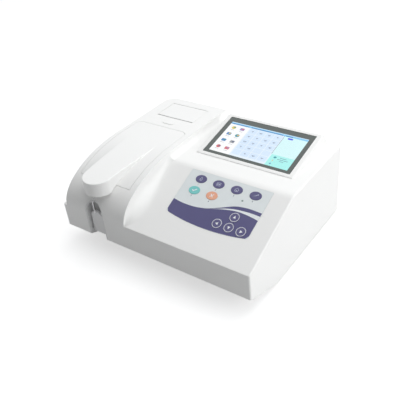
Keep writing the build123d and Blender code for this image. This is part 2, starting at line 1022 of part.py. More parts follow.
with BuildPart() as case_screws:
    for post_x, post_y in foot_places:
        rod(
            (post_x, post_y, floor_top - screw_head_height),
            (0, 0, 1),
            screw_head_radius,
            screw_head_height,
        )
        rod((post_x, post_y, floor_top), (0, 0, 1), screw_radius, screw_length)
        with BuildSketch(Plane.XY.offset(floor_top - screw_head_height)):
            with Locations((post_x, post_y)):
                RegularPolygon(screw_radius, 6)
        extrude(amount=screw_head_height / 2, mode=Mode.SUBTRACT)
keep(case_screws, "case_screws")

# Chamber tray, a tub that hangs under the opening of the lid
tray_left = lid_left - tray_side_margin
tray_right = lid_right + tray_side_margin
tray_front_y = front + tray_front_depth
tray_rear_y = front + tray_rear_depth
tray_floor_top = tray_floor_height + tray_wall
tray_roof_inset = shell_wall + fit_gap
pump_x = module_centre - pump_shift
pump_y = front + pump_depth
pump_shaft_top = tray_floor_top + pump_base + tube_play
cell_x = module_centre + optical_axis_shift
cell_y = front + cell_depth
tube_circle = pump_track_radius - tube_radius - tube_play
waste_leg_x = pump_x - tube_circle
feed_leg_x = pump_x + tube_circle
waste_drop_y = cell_y + pump_height + 2 * tube_radius

with BuildPart() as tray_hollow:
    extrude(
        module_face(tray_left + tray_wall, tray_roof_inset + tray_wall),
        amount=tray_right - tray_left - 2 * tray_wall,
    )
    block(
        (tray_left, tray_right),
        (tray_front_y + tray_wall, tray_rear_y - tray_wall),
        (tray_floor_top, cut_high),
        mode=Mode.INTERSECT,
    )

with BuildPart() as chamber_tray:
    extrude(module_face(tray_left, tray_roof_inset), amount=tray_right - tray_left)
    block(
        (tray_left, tray_right),
        (tray_front_y, tray_rear_y),
        (tray_floor_height, cut_high),
        mode=Mode.INTERSECT,
    )
    add(tray_hollow.part, mode=Mode.SUBTRACT)
    # the window inside the ledge, and the room that the lid's tail and lugs need
    block(
        (lid_left + tray_ledge, lid_right - tray_ledge),
        (front + lid_front_depth + tray_ledge, tray_rear_y - tray_wall),
        (tray_floor_top, cut_high),
        mode=Mode.SUBTRACT,
    )
    block(
        (lid_left - seam_gap, lid_right + seam_gap),
        (lid_hinge_y - 2 * lug_radius, tray_rear_y - tray_wall),
        (module_top - tray_tail_room, cut_high),
        mode=Mode.SUBTRACT,
    )
    block(
        (tray_left - 1, tray_right + 1),
        (lid_hinge_y - 2 * lug_radius, lid_hinge_y + 2 * lug_radius),
        (module_top - 3 * lug_radius, cut_high),
        mode=Mode.SUBTRACT,
    )
    # the measuring block, the pump shaft, the waste hose and the probe pass through
    block(
        (cell_x - block_width / 2 - fit_gap, cell_x + block_width / 2 + fit_gap),
        (cell_y - block_length / 2 - fit_gap, cell_y + block_length / 2 + fit_gap),
        (tray_floor_height - 1, tray_floor_top + 1),
        mode=Mode.SUBTRACT,
    )
    for hole_x, hole_y, radius in (
        (pump_x, pump_y, shaft_radius + fit_gap),
        (waste_leg_x, waste_drop_y, tube_radius + fit_gap),
    ):
        rod(
            (hole_x, hole_y, tray_floor_height - 1),
            (0, 0, 1),
            radius,
            tray_wall + 2,
            mode=Mode.SUBTRACT,
        )
    rod(
        (module_centre, tray_front_y - 1, probe_exit_height),
        (0, 1, 0),
        probe_radius + running_gap,
        tray_wall + 2,
        mode=Mode.SUBTRACT,
    )
keep(chamber_tray, "chamber_tray")

# Flip lid: a skin that follows the module's roof, with a hollow tongue that ends in the beak
tongue_tip_y = front + beak_tip_depth
tongue_rear_y = front + tongue_rear_depth
lid_front_y = front + lid_front_depth
lid_span = lid_right - lid_left


def tongue_plan(inset, height):
    """Plan outline of the tongue, round at the tip and wider at the rear."""
    tip_half = beak_half_width - inset
    rear_half = tongue_half_width - inset
    tip_round_y = tongue_tip_y + beak_half_width
    with BuildSketch(Plane.XY.offset(height)) as plan:
        with BuildLine():
            Polyline(
                (module_centre + tip_half, tip_round_y),
                (module_centre + rear_half, tongue_rear_y - inset),
                (module_centre - rear_half, tongue_rear_y - inset),
                (module_centre - tip_half, tip_round_y),
            )
            ThreePointArc(
                (module_centre - tip_half, tip_round_y),
                (module_centre, tongue_tip_y + inset),
                (module_centre + tip_half, tip_round_y),
            )
        make_face()
    return plan.sketch


def tongue_side(inset):
    """Side region below the tongue's gently arched top."""
    span = tongue_rear_y - tongue_tip_y
    arch_radius = (span * span + tongue_tip_drop * tongue_tip_drop) / (2 * tongue_tip_drop)
    with BuildSketch(Plane.YZ.offset(lid_left)) as side:
        with BuildLine():
            Polyline(
                (tongue_tip_y, module_top - tongue_tip_drop - inset),
                (tongue_tip_y, cut_low),
                (tongue_rear_y, cut_low),
                (tongue_rear_y, module_top - inset),
            )
            RadiusArc(
                (tongue_tip_y, module_top - tongue_tip_drop - inset),
                (tongue_rear_y, module_top - inset),
                arch_radius,
            )
        make_face()
    return side.sketch


with BuildPart() as tongue_outer:
    extrude(tongue_plan(0, beak_bottom), amount=cut_high)
    extrude(tongue_side(0), amount=lid_span, mode=Mode.INTERSECT)
    top_rim = tongue_outer.faces().sort_by(Axis.Z)[-1].outer_wire().edges()
    fillet(top_rim.sort_by(Axis.Y)[:-1], radius=beak_edge_radius)

with BuildPart() as tongue_inner:
    extrude(tongue_plan(shell_wall, beak_bottom + shell_wall), amount=cut_high)
    extrude(tongue_side(shell_wall), amount=lid_span, mode=Mode.INTERSECT)

with BuildPart() as roof_room:
    extrude(module_face(lid_left - 1, shell_wall), amount=lid_span + 2)
    block(
        (lid_left - 1, lid_right + 1),
        (lid_front_y, rear),
        (cut_low, cut_high),
        mode=Mode.INTERSECT,
    )

with BuildPart() as forehead_room:
    extrude(module_face(lid_left - 1, -beak_gap), amount=lid_span + 2)
    block(
        (lid_left - 1, lid_right + 1),
        (front - shell_wall, lid_front_y),
        (cut_low, cut_high),
        mode=Mode.INTERSECT,
    )

with BuildPart() as beak_back:
    extrude(module_face(lid_left - 1, -(beak_gap + shell_wall)), amount=lid_span + 2)
    block(
        (lid_left - 1, lid_right + 1),
        (front - 2 * shell_wall, lid_front_y + shell_wall),
        (cut_low, cut_high),
        mode=Mode.INTERSECT,
    )

with BuildPart() as tongue_room:
    add(tongue_inner.part)
    add(beak_back.part, mode=Mode.SUBTRACT)

with BuildPart() as lid:
    extrude(module_face(lid_left), amount=lid_span)
    extrude(lid_plan(0, beak_bottom - shell_wall), amount=cut_high, mode=Mode.INTERSECT)
    add(tongue_outer.part)
    add(roof_room.part, mode=Mode.SUBTRACT)
    add(forehead_room.part, mode=Mode.SUBTRACT)
    add(tongue_room.part, mode=Mode.SUBTRACT)
    lower_edge = (
        lid.edges()
        .filter_by_position(Axis.Y, lid_front_y - 0.1, lid_front_y + 0.1)
        .sort_by(Axis.Z)[0]
    )
    chamfer(lower_edge, length=lid_front_chamfer)
    for start, side in ((lid_left, 1), (lid_right, -1)):
        rod((start, lid_hinge_y, lid_hinge_z), (side, 0, 0), lug_radius, lid_lug_length)
    for start, side in ((lid_left, 1), (lid_right, -1)):
        rod(
            (start, lid_hinge_y, lid_hinge_z),
            (side, 0, 0),
            pin_radius + running_gap,
            lid_lug_length - 1,
            mode=Mode.SUBTRACT,
        )
keep(lid, "lid")

with BuildPart() as hinge_pins:
    for side, edge, pin_y in hinge_places:
        reach = 2 * (lid_lug_length - pin_end_gap) + seam_gap
        start = (edge - side * (lid_lug_length - pin_end_gap), pin_y, lid_hinge_z)
        rod(start, (side, 0, 0), pin_radius, reach)
keep(hinge_pins, "hinge_pins")

# Aspiration bay, its paddle and the position sensor behind it
bay_back_y = front + bay_depth + bay_wall
with BuildPart() as aspiration_bay:
    extrude(bay_face(bay_wall, -bay_wall), amount=-(bay_depth + 2 * bay_wall))
    extrude(bay_face(0, -2 * bay_wall), amount=-(bay_depth + 2 * bay_wall), mode=Mode.SUBTRACT)
    add(outer_form.part, mode=Mode.INTERSECT)
    block(
        (module_centre - flag_window_half, module_centre + flag_window_half),
        (bay_back_y - 2 * bay_wall, bay_back_y + 1),
        (flag_low - flag_window_margin, flag_high + flag_window_margin),
        mode=Mode.SUBTRACT,
    )
    rod(
        (module_centre - bay_half_width - 2 * bay_wall, paddle_axis_y, paddle_pivot_height),
        (1, 0, 0),
        paddle_pin_radius + paddle_play,
        2 * bay_half_width + 4 * bay_wall,
        mode=Mode.SUBTRACT,
    )
keep(aspiration_bay, "aspiration_bay")

with BuildPart() as aspiration_paddle:
    paddle_plane = Plane(
        origin=(module_centre, front + paddle_setback, 0), x_dir=(1, 0, 0), z_dir=(0, -1, 0)
    )
    paddle_round = paddle_top - paddle_half_width
    with BuildSketch(paddle_plane):
        with BuildLine():
            Polyline(
                (paddle_half_width, paddle_round),
                (paddle_half_width, paddle_bottom),
                (-paddle_half_width, paddle_bottom),
                (-paddle_half_width, paddle_round),
            )
            ThreePointArc(
                (-paddle_half_width, paddle_round),
                (0, paddle_top),
                (paddle_half_width, paddle_round),
            )
        make_face()
    extrude(amount=-paddle_thickness)
    fillet(
        aspiration_paddle.faces().sort_by(Axis.Y)[0].outer_wire().edges(), radius=paddle_edge_radius
    )
    rod(
        (module_centre - bay_half_width - bay_wall + fit_gap, paddle_axis_y, paddle_pivot_height),
        (1, 0, 0),
        paddle_pin_radius,
        2 * (bay_half_width + bay_wall - fit_gap),
    )
    block(
        (module_centre - flag_half_width, module_centre + flag_half_width),
        (paddle_axis_y, front + flag_reach),
        (flag_low, flag_high),
    )
keep(aspiration_paddle, "aspiration_paddle")

with BuildPart() as paddle_sensor:
    block(
        (module_centre - sensor_width / 2, module_centre + sensor_width / 2),
        (bay_back_y, bay_back_y + sensor_length),
        (flag_low - flag_window_margin - sensor_margin, flag_high + flag_window_margin + sensor_margin),
    )
    block(
        (module_centre - flag_window_half, module_centre + flag_window_half),
        (bay_back_y - 1, bay_back_y + sensor_length - sensor_margin),
        (flag_low - 2 * flag_window_margin, flag_high + 2 * flag_window_margin),
        mode=Mode.SUBTRACT,
    )
keep(paddle_sensor, "paddle_sensor")


def ring_section(route, outer, bore):
    """Ring-shaped section of a tube at the start of its route."""
    with BuildSketch(Plane(origin=route @ 0, z_dir=route % 0)) as section:
        Circle(outer)
        Circle(bore, mode=Mode.SUBTRACT)
    return section.sketch


with BuildLine() as probe_route:
    FilletPolyline(
        (module_centre, front + probe_rear_depth, probe_exit_height),
        (module_centre, front + probe_setback, probe_exit_height),
        (module_centre, front + probe_setback, probe_tip_height),
        radius=probe_bend_radius,
    )
with BuildPart() as sample_probe:
    probe_line = probe_route.wires()[0]
    sweep(ring_section(probe_line, probe_radius, probe_bore), path=probe_line)
keep(sample_probe, "sample_probe")

# Thermal printer: frame with the paper bucket, print head, platen, door, roll and release button
frame_left = module_centre - printer_half_width
frame_right = module_centre + printer_half_width
frame_front_y = door_front_y - frame_front_room
frame_rear_y = door_rear_y + door_tail_gap + frame_wall
roof_under = module_top - shell_wall
rim_bottom = roof_under - frame_rim_depth
roll_y = door_front_y + roll_setback
roll_half = roll_length / 2 + roll_play
platen_y = door_front_y + platen_setback
platen_z = module_top - platen_drop
ear_centre = platen_length / 2 + roll_play + ear_thickness / 2

with BuildPart() as printer_frame:
    block((frame_left, frame_right), (frame_front_y, frame_rear_y), (rim_bottom, roof_under))
    bucket_half = roll_half + frame_wall
    rod(
        (module_centre - bucket_half, roll_y, roll_height),
        (1, 0, 0),
        roll_radius + roll_play + frame_wall,
        2 * bucket_half,
    )
    block(
        (module_centre - bucket_half, module_centre + bucket_half),
        (roll_y - roll_radius - roll_play - frame_wall, roll_y + roll_radius + roll_play + frame_wall),
        (roll_height, rim_bottom + 1),
    )
    block(
        (frame_left + frame_wall, frame_right - frame_wall),
        (frame_front_y + frame_wall, frame_rear_y - frame_wall),
        (rim_bottom + frame_wall, cut_high),
        mode=Mode.SUBTRACT,
    )
    rod(
        (module_centre - roll_half, roll_y, roll_height),
        (1, 0, 0),
        roll_radius + roll_play,
        2 * roll_half,
        mode=Mode.SUBTRACT,
    )
    block(
        (module_centre - roll_half, module_centre + roll_half),
        (roll_y - roll_radius - roll_play, roll_y + roll_radius + roll_play),
        (roll_height, rim_bottom + 2 * frame_wall),
        mode=Mode.SUBTRACT,
    )
    # notches round the bosses of the door pins, and the mount of the print head
    block(
        (frame_left - 1, frame_right + 1),
        (door_hinge_y - lug_radius - fit_gap, door_hinge_y + lug_radius + fit_gap),
        (lid_hinge_z - lug_radius - fit_gap, cut_high),
        mode=Mode.SUBTRACT,
    )
    block(
        (module_centre - head_width / 2, module_centre + head_width / 2),
        (frame_front_y + frame_wall - 1, head_back_y),
        (head_low, head_high - frame_wall),
    )
keep(printer_frame, "printer_frame")

with BuildPart() as print_head:
    block(
        (module_centre - head_width / 2, module_centre + head_width / 2),
        (head_back_y, head_back_y + head_thickness),
        (head_low, head_high),
    )
    rod(
        (module_centre - head_width / 2, head_back_y + head_thickness, platen_z),
        (1, 0, 0),
        head_gap / 3,
        head_width,
    )
keep(print_head, "print_head")

with BuildPart() as printer_door:
    block((door_left, door_right), (door_front_y, door_rear_y), (roof_under, module_top))
    fillet(printer_door.faces().sort_by(Axis.Z)[-1].edges(), radius=door_edge_radius)
    for side in (-1, 1):
        ear_x = module_centre + side * ear_centre
        block(
            (ear_x - ear_thickness / 2, ear_x + ear_thickness / 2),
            (platen_y - ear_radius, platen_y + ear_radius),
            (platen_z, roof_under + 1),
        )
        rod((ear_x - ear_thickness / 2, platen_y, platen_z), (1, 0, 0), ear_radius, ear_thickness)
        rod(
            (ear_x - ear_thickness, platen_y, platen_z),
            (1, 0, 0),
            platen_shaft_radius + running_gap,
            2 * ear_thickness,
            mode=Mode.SUBTRACT,
        )
    for start, side in ((door_left, 1), (door_right, -1)):
        rod((start, door_hinge_y, lid_hinge_z), (side, 0, 0), lug_radius, lid_lug_length)
    for start, side in ((door_left, 1), (door_right, -1)):
        rod(
            (start, door_hinge_y, lid_hinge_z),
            (side, 0, 0),
            pin_radius + running_gap,
            lid_lug_length - 1,
            mode=Mode.SUBTRACT,
        )
keep(printer_door, "printer_door")

with BuildPart() as platen_roller:
    rod((module_centre - platen_length / 2, platen_y, platen_z), (1, 0, 0), platen_radius, platen_length)
    shaft_half = ear_centre + ear_thickness
    rod((module_centre - shaft_half, platen_y, platen_z), (1, 0, 0), platen_shaft_radius, 2 * shaft_half)
keep(platen_roller, "platen_roller")

with BuildPart() as paper_roll:
    roll_start = (module_centre - roll_length / 2, roll_y, roll_height)
    rod(roll_start, (1, 0, 0), roll_radius, roll_length)
    rod(roll_start, (1, 0, 0), roll_core_radius, roll_length, mode=Mode.SUBTRACT)
keep(paper_roll, "paper_roll")

with BuildPart() as door_release_button:
    button_level = roof_under - fit_gap
    with BuildSketch(Plane.XY.offset(button_level)):
        with Locations((module_centre, release_y)):
            SlotOverall(release_length, release_width)
    extrude(amount=module_top + release_rise - button_level)
    fillet(door_release_button.faces().sort_by(Axis.Z)[-1].edges(), radius=door_edge_radius)
    with BuildSketch(Plane.XY.offset(button_level)):
        with Locations((module_centre, release_y)):
            SlotOverall(release_length + 2 * release_flange, release_width + 2 * release_flange)
    extrude(amount=-release_flange)
    rod((module_centre, release_y, button_level), (0, 0, -1), release_stem, 3 * release_flange)
keep(door_release_button, "door_release_button")

# Touch screen: raised bezel, glass and display module
screen_axis = Axis(screen_plane.origin, screen_plane.z_dir)
with BuildPart() as bezel_body:
    extrude(
        screen_face(
            screen_width + 2 * bezel_side,
            screen_height + bezel_front + bezel_rear,
            bezel_lip,
            shift=(bezel_rear - bezel_front) / 2,
        ),
        amount=-bezel_reach,
        taper=-bezel_draft,
    )
    fillet(
        bezel_body.faces().sort_by(screen_axis)[-1].outer_wire().edges(), radius=bezel_edge_radius
    )

with BuildPart() as screen_bezel:
    add(bezel_body.part)
    extrude(console_face(left), amount=case_width, mode=Mode.SUBTRACT)
    extrude(
        screen_face(
            screen_width + 2 * fit_gap,
            screen_height + 2 * fit_gap,
            -glass_thickness,
            screen_corner_radius,
        ),
        amount=bezel_reach,
        mode=Mode.SUBTRACT,
    )
    extrude(
        screen_face(
            display_width - bezel_window_inset, display_height - bezel_window_inset, -bezel_reach
        ),
        amount=2 * bezel_reach,
        mode=Mode.SUBTRACT,
    )
    extrude(
        screen_face(
            display_width + 2 * fit_gap,
            display_height + 2 * fit_gap,
            -glass_thickness - glass_seat,
        ),
        amount=-bezel_reach,
        mode=Mode.SUBTRACT,
    )
keep(screen_bezel, "screen_bezel")

with BuildPart() as touch_glass:
    extrude(
        screen_face(screen_width, screen_height, 0.0, screen_corner_radius),
        amount=-glass_thickness,
    )
keep(touch_glass, "touch_glass")

with BuildPart() as lcd_module:
    extrude(
        screen_face(display_width, display_height, -glass_thickness - glass_seat),
        amount=-display_thickness,
    )
keep(lcd_module, "lcd_module")

# Keypad: film, keys, board with domes and the ready light
overlay_under = overlay_rise - overlay_thickness
flange_top = overlay_under - fit_gap
flange_under = flange_top - key_flange_thickness
dome_top = dome_height - shell_wall
stem_under = dome_top + key_travel + key_stem_gap

with BuildPart() as keypad_overlay:
    extrude(keypad_face(0.0, overlay_under), amount=overlay_thickness)
    for place in key_places.values():
        extrude(oval_face(place, fit_gap, -shell_wall), amount=2 * shell_wall, mode=Mode.SUBTRACT)
    for place in arrow_places.values():
        extrude(arrow_face(place, fit_gap, -shell_wall), amount=2 * shell_wall, mode=Mode.SUBTRACT)
    extrude(
        spot_face((led_x, led_height), led_diameter / 2 + fit_gap / 2, -shell_wall),
        amount=2 * shell_wall,
        mode=Mode.SUBTRACT,
    )
keep(keypad_overlay, "keypad_overlay")

slope_axis = Axis(slope_plane.origin, slope_plane.z_dir)
all_keys = [(name, place, oval_face) for name, place in key_places.items()]
all_keys += [(name, place, arrow_face) for name, place in arrow_places.items()]
for name, place, outline in all_keys:
    with BuildPart() as key:
        extrude(outline(place, 0.0, flange_under), amount=key_rise + overlay_rise - flange_under)
        fillet(key.faces().sort_by(slope_axis)[-1].edges(), radius=key_edge_radius)
        extrude(outline(place, key_flange, flange_under), amount=key_flange_thickness)
        extrude(spot_face(place, key_stem_radius, flange_under), amount=stem_under - flange_under)
    keep(key, name)

pcb_low = arrow_row_low - arrow_diameter / 2 - keypad_board_margin
pcb_high = oval_row_high + oval_width / 2 + keypad_board_margin
with BuildPart() as keypad_board:
    with BuildSketch(slope_plane.offset(-shell_wall)):
        with Locations((keypad_centre_x, (pcb_low + pcb_high) / 2)):
            Rectangle(keypad_width - 2 * keypad_board_margin, pcb_high - pcb_low)
    extrude(amount=-keypad_board_thickness)
    for name, place, outline in all_keys:
        extrude(spot_face(place, dome_radius, -shell_wall), amount=dome_height)
keep(keypad_board, "keypad_board")

with BuildPart() as status_led:
    extrude(
        spot_face((led_x, led_height), led_diameter / 2, -shell_wall),
        amount=shell_wall + overlay_rise + led_rise,
    )
    fillet(status_led.faces().sort_by(slope_axis)[-1].edges(), radius=led_diameter / 3)
keep(status_led, "status_led")

# Optical bench with lamp, lens, measuring block, flow cell, filter wheel and detector
wheel_x = cell_x - filter_circle
wheel_y = front + wheel_depth
motor_end_y = wheel_y - motor_gap
motor_start_y = motor_end_y - filter_motor_length
lamp_y = front + lamp_front_depth
block_front_y = cell_y - block_length / 2
saddle_inset = 2.0

with BuildPart() as optical_bench:
    block((bench_left, bench_right), (bench_front_y, bench_rear_y), (bench_height, bench_top))
    slot_half = sqrt(wheel_radius**2 - (optical_axis_height - bench_top) ** 2) + wheel_clearance
    block(
        (wheel_x - slot_half, wheel_x + slot_half),
        (wheel_y - wheel_hub_rise - wheel_clearance, wheel_y + wheel_thickness + wheel_clearance + 1),
        (bench_height - 1, bench_top + 1),
        mode=Mode.SUBTRACT,
    )
    block(
        (wheel_x - saddle_width / 2, wheel_x + saddle_width / 2),
        (motor_start_y + saddle_inset, motor_end_y - saddle_inset),
        (bench_top, optical_axis_height - filter_motor_radius / 2),
    )
    rod(
        (wheel_x, motor_start_y - 1, optical_axis_height),
        (0, 1, 0),
        filter_motor_radius + running_gap,
        filter_motor_length + 2,
        mode=Mode.SUBTRACT,
    )
keep(optical_bench, "optical_bench")

with BuildPart() as lamp_housing:
    block(
        (cell_x - lamp_box_width / 2, cell_x + lamp_box_width / 2),
        (lamp_y, lamp_y + lamp_box_length),
        (bench_top, bench_top + lamp_box_height),
    )
    rod(
        (cell_x, lamp_y - lens_thickness - lens_lip + lamp_box_wall, optical_axis_height),
        (0, 1, 0),
        lens_radius + lens_lip + fit_gap,
        lens_thickness + lens_lip,
    )
    block(
        (cell_x - lamp_box_width / 2 + lamp_box_wall, cell_x + lamp_box_width / 2 - lamp_box_wall),
        (lamp_y + lamp_box_wall, lamp_y + lamp_box_length - lamp_box_wall),
        (bench_top - 1, bench_top + lamp_box_height - lamp_box_wall),
        mode=Mode.SUBTRACT,
    )
    rod(
        (cell_x, lamp_y - lens_thickness - lens_lip, optical_axis_height),
        (0, 1, 0),
        lens_radius + filter_play,
        lens_thickness + lamp_box_wall,
        mode=Mode.SUBTRACT,
    )
    rod(
        (cell_x, lamp_y - lens_thickness, optical_axis_height),
        (0, 1, 0),
        lens_radius - lens_lip,
        2 * lens_thickness,
        mode=Mode.SUBTRACT,
    )
    with BuildSketch(Plane.XY.offset(bench_top + lamp_box_height - 2 * lamp_box_wall)):
        with Locations((cell_x, lamp_y + lamp_box_length / 2)):
            with GridLocations(lamp_vent_pitch, 0, 5, 1):
                SlotOverall(lamp_box_length / 2, lamp_vent_width, rotation=90)
    extrude(amount=3 * lamp_box_wall, mode=Mode.SUBTRACT)
keep(lamp_housing, "lamp_housing")

lens_front_y = lamp_y + lamp_box_wall - lens_thickness - lens_lip
with BuildPart() as condenser_lens:
    rod((cell_x, lens_front_y, optical_axis_height), (0, 1, 0), lens_radius, lens_thickness)
    rims = condenser_lens.edges().filter_by(GeomType.CIRCLE)
    chamfer(rims, length=filter_play * 5)
keep(condenser_lens, "condenser_lens")

lamp_back_y = lamp_y + lamp_box_length - lamp_box_wall
with BuildPart() as halogen_lamp:
    with BuildSketch(Plane(origin=(cell_x, lamp_back_y, optical_axis_height), z_dir=(0, -1, 0))):
        Rectangle(lamp_base_size, lamp_base_size)
    extrude(amount=lamp_base_length)
    rod(
        (cell_x, lamp_back_y - lamp_base_length, optical_axis_height),
        (0, -1, 0),
        bulb_radius,
        bulb_length,
    )
    fillet(halogen_lamp.faces().sort_by(Axis.Y)[0].edges(), radius=bulb_radius * 0.8)
keep(halogen_lamp, "halogen_lamp")

cell_low = optical_axis_height - cell_foot
with BuildPart() as flow_cell_block:
    block(
        (cell_x - block_width / 2, cell_x + block_width / 2),
        (block_front_y, block_front_y + block_length),
        (bench_top, block_top),
    )
    block(
        (cell_x - cell_size / 2 - fit_gap / 2, cell_x + cell_size / 2 + fit_gap / 2),
        (cell_y - cell_size / 2 - fit_gap / 2, cell_y + cell_size / 2 + fit_gap / 2),
        (cell_low, block_top + 1),
        mode=Mode.SUBTRACT,
    )
    rod(
        (cell_x, block_front_y - 1, optical_axis_height),
        (0, 1, 0),
        light_bore_radius,
        block_length + 2,
        mode=Mode.SUBTRACT,
    )
keep(flow_cell_block, "flow_cell_block")

cap_top = block_top + cell_rise + cell_cap_height
with BuildPart() as flow_cell:
    block(
        (cell_x - cell_size / 2, cell_x + cell_size / 2),
        (cell_y - cell_size / 2, cell_y + cell_size / 2),
        (cell_low, block_top + cell_rise),
    )
    block(
        (cell_x - cell_cap_width / 2, cell_x + cell_cap_width / 2),
        (cell_y - cell_size / 2, cell_y + cell_size / 2),
        (block_top + cell_rise, cap_top),
    )
    for side in (-1, 1):
        rod((cell_x + side * port_spread, cell_y, cap_top), (0, 0, 1), tube_bore - running_gap, port_length)
keep(flow_cell, "flow_cell")

with BuildPart() as filter_wheel:
    rod((wheel_x, wheel_y, optical_axis_height), (0, 1, 0), wheel_radius, wheel_thickness)
    with BuildSketch(Plane(origin=(wheel_x, wheel_y, optical_axis_height), z_dir=(0, 1, 0))):
        with PolarLocations(filter_circle, filter_count):
            Circle(filter_radius)
    extrude(amount=wheel_thickness, mode=Mode.SUBTRACT)
    rod(
        (wheel_x, wheel_y - wheel_hub_rise, optical_axis_height),
        (0, 1, 0),
        wheel_hub_radius,
        wheel_thickness + 2 * wheel_hub_rise,
    )
    rod(
        (wheel_x, motor_end_y - shaft_length, optical_axis_height),
        (0, 1, 0),
        shaft_radius,
        shaft_length + motor_gap,
    )
keep(filter_wheel, "filter_wheel")

with BuildPart() as optical_filters:
    filter_start = wheel_y + (wheel_thickness - filter_thickness) / 2
    with BuildSketch(Plane(origin=(wheel_x, filter_start, optical_axis_height), z_dir=(0, 1, 0))):
        with PolarLocations(filter_circle, filter_count):
            Circle(filter_radius - filter_play)
    extrude(amount=filter_thickness)
keep(optical_filters, "optical_filters")

with BuildPart() as filter_motor:
    rod((wheel_x, motor_start_y, optical_axis_height), (0, 1, 0), filter_motor_radius, filter_motor_length)
    rod(
        (wheel_x, motor_end_y - shaft_length - fit_gap, optical_axis_height),
        (0, 1, 0),
        shaft_radius + running_gap,
        shaft_length + 1,
        mode=Mode.SUBTRACT,
    )
keep(filter_motor, "filter_motor")

detector_end_y = motor_end_y
detector_plate_y = detector_end_y - detector_length - detector_plate
with BuildPart() as photodetector:
    block(
        (cell_x - detector_width / 2, cell_x + detector_width / 2),
        (detector_plate_y, detector_plate_y + detector_plate),
        (bench_top, optical_axis_height + detector_rise),
    )
    block(
        (cell_x - detector_width / 2, cell_x + detector_width / 2),
        (detector_plate_y - detector_foot, detector_plate_y + detector_plate),
        (bench_top, bench_top + detector_plate),
    )
    rod(
        (cell_x, detector_plate_y, optical_axis_height),
        (0, 1, 0),
        detector_radius,
        detector_plate + detector_length,
    )
keep(photodetector, "photodetector")

# Peristaltic pump on the tray floor
tube_z = tray_floor_top + tube_height
disc_low = pump_shaft_top
disc_high = tube_z + (tube_z - disc_low)
roller_circle = tube_circle - tube_radius - tube_play - roller_radius

with BuildPart() as pump_housing:
    rod((pump_x, pump_y, tray_floor_top), (0, 0, 1), pump_outer_radius, pump_height)
    rod(
        (pump_x, pump_y, tray_floor_top + pump_base),
        (0, 0, 1),
        pump_track_radius,
        pump_height,
        mode=Mode.SUBTRACT,
    )
    for side in (-1, 1):
        leg_x = pump_x + side * tube_circle
        block(
            (leg_x - tube_radius - tube_play, leg_x + tube_radius + tube_play),
            (pump_y, pump_y + pump_outer_radius + 1),
            (tray_floor_top + pump_base, tray_floor_top + pump_height + 1),
            mode=Mode.SUBTRACT,
        )
    rod(
        (pump_x, pump_y, tray_floor_top - 1),
        (0, 0, 1),
        shaft_radius + fit_gap,
        pump_base + 2,
        mode=Mode.SUBTRACT,
    )
keep(pump_housing, "pump_housing")

with BuildPart() as pump_rotor:
    rod((pump_x, pump_y, disc_low), (0, 0, 1), disc_radius, disc_thickness)
    rod((pump_x, pump_y, disc_high - disc_thickness), (0, 0, 1), disc_radius, disc_thickness)
    rod((pump_x, pump_y, disc_low), (0, 0, 1), rotor_hub_radius, disc_high - disc_low)
    rod(
        (pump_x, pump_y, tray_floor_height - shaft_length),
        (0, 0, 1),
        shaft_radius,
        disc_low - tray_floor_height + shaft_length,
    )
    with BuildSketch(Plane.XY.offset(disc_low)):
        with Locations((pump_x, pump_y)):
            with PolarLocations(roller_circle, roller_count):
                Circle(roller_pin_radius)
    extrude(amount=disc_high - disc_low)
keep(pump_rotor, "pump_rotor")

with BuildPart() as pump_rollers:
    with BuildSketch(Plane.XY.offset(disc_low + disc_thickness + tube_play)):
        with Locations((pump_x, pump_y)):
            with PolarLocations(roller_circle, roller_count):
                Circle(roller_radius)
                Circle(roller_pin_radius + running_gap, mode=Mode.SUBTRACT)
    extrude(amount=disc_high - disc_low - 2 * (disc_thickness + tube_play))
keep(pump_rollers, "pump_rollers")

with BuildPart() as pump_motor:
    rod((pump_x, pump_y, tray_floor_height), (0, 0, -1), pump_motor_radius, pump_motor_length)
    rod(
        (pump_x, pump_y, tray_floor_height + 1),
        (0, 0, -1),
        shaft_radius + running_gap,
        shaft_length + 1 + fit_gap,
        mode=Mode.SUBTRACT,
    )
keep(pump_motor, "pump_motor")

# Hoses: each is straight runs joined by tangent bends
hose_rise = port_length + hose_bend
with BuildLine() as pump_route:
    FilletPolyline(
        (cell_x - port_spread, cell_y, cap_top),
        (cell_x - port_spread, cell_y, cap_top + hose_rise),
        (feed_leg_x, cell_y - 2 * hose_bend, cap_top + hose_rise),
        (feed_leg_x, pump_y + pump_leg + hose_bend, tube_z),
        (feed_leg_x, pump_y, tube_z),
        radius=hose_bend,
    )
    ThreePointArc(
        (feed_leg_x, pump_y, tube_z),
        (pump_x, pump_y - tube_circle, tube_z),
        (waste_leg_x, pump_y, tube_z),
    )
    Line((waste_leg_x, pump_y, tube_z), (waste_leg_x, pump_y + pump_leg, tube_z))
with BuildPart() as pump_tube:
    pump_line = pump_route.wires()[0]
    sweep(ring_section(pump_line, tube_radius, tube_bore), path=pump_line)
keep(pump_tube, "pump_tube")

with BuildLine() as sample_route:
    FilletPolyline(
        (cell_x + port_spread, cell_y, cap_top),
        (cell_x + port_spread, cell_y, cap_top + hose_rise),
        (cell_x + port_spread, front + probe_rear_depth + 4 * hose_bend, cap_top + hose_rise),
        (module_centre, front + probe_rear_depth + 2 * hose_bend, probe_exit_height),
        (module_centre, front + probe_rear_depth - hose_bend / 2, probe_exit_height),
        radius=hose_bend,
    )
with BuildPart() as sample_tube:
    sample_line = sample_route.wires()[0]
    sweep(ring_section(sample_line, tube_radius, tube_bore), path=sample_line)
keep(sample_tube, "sample_tube")

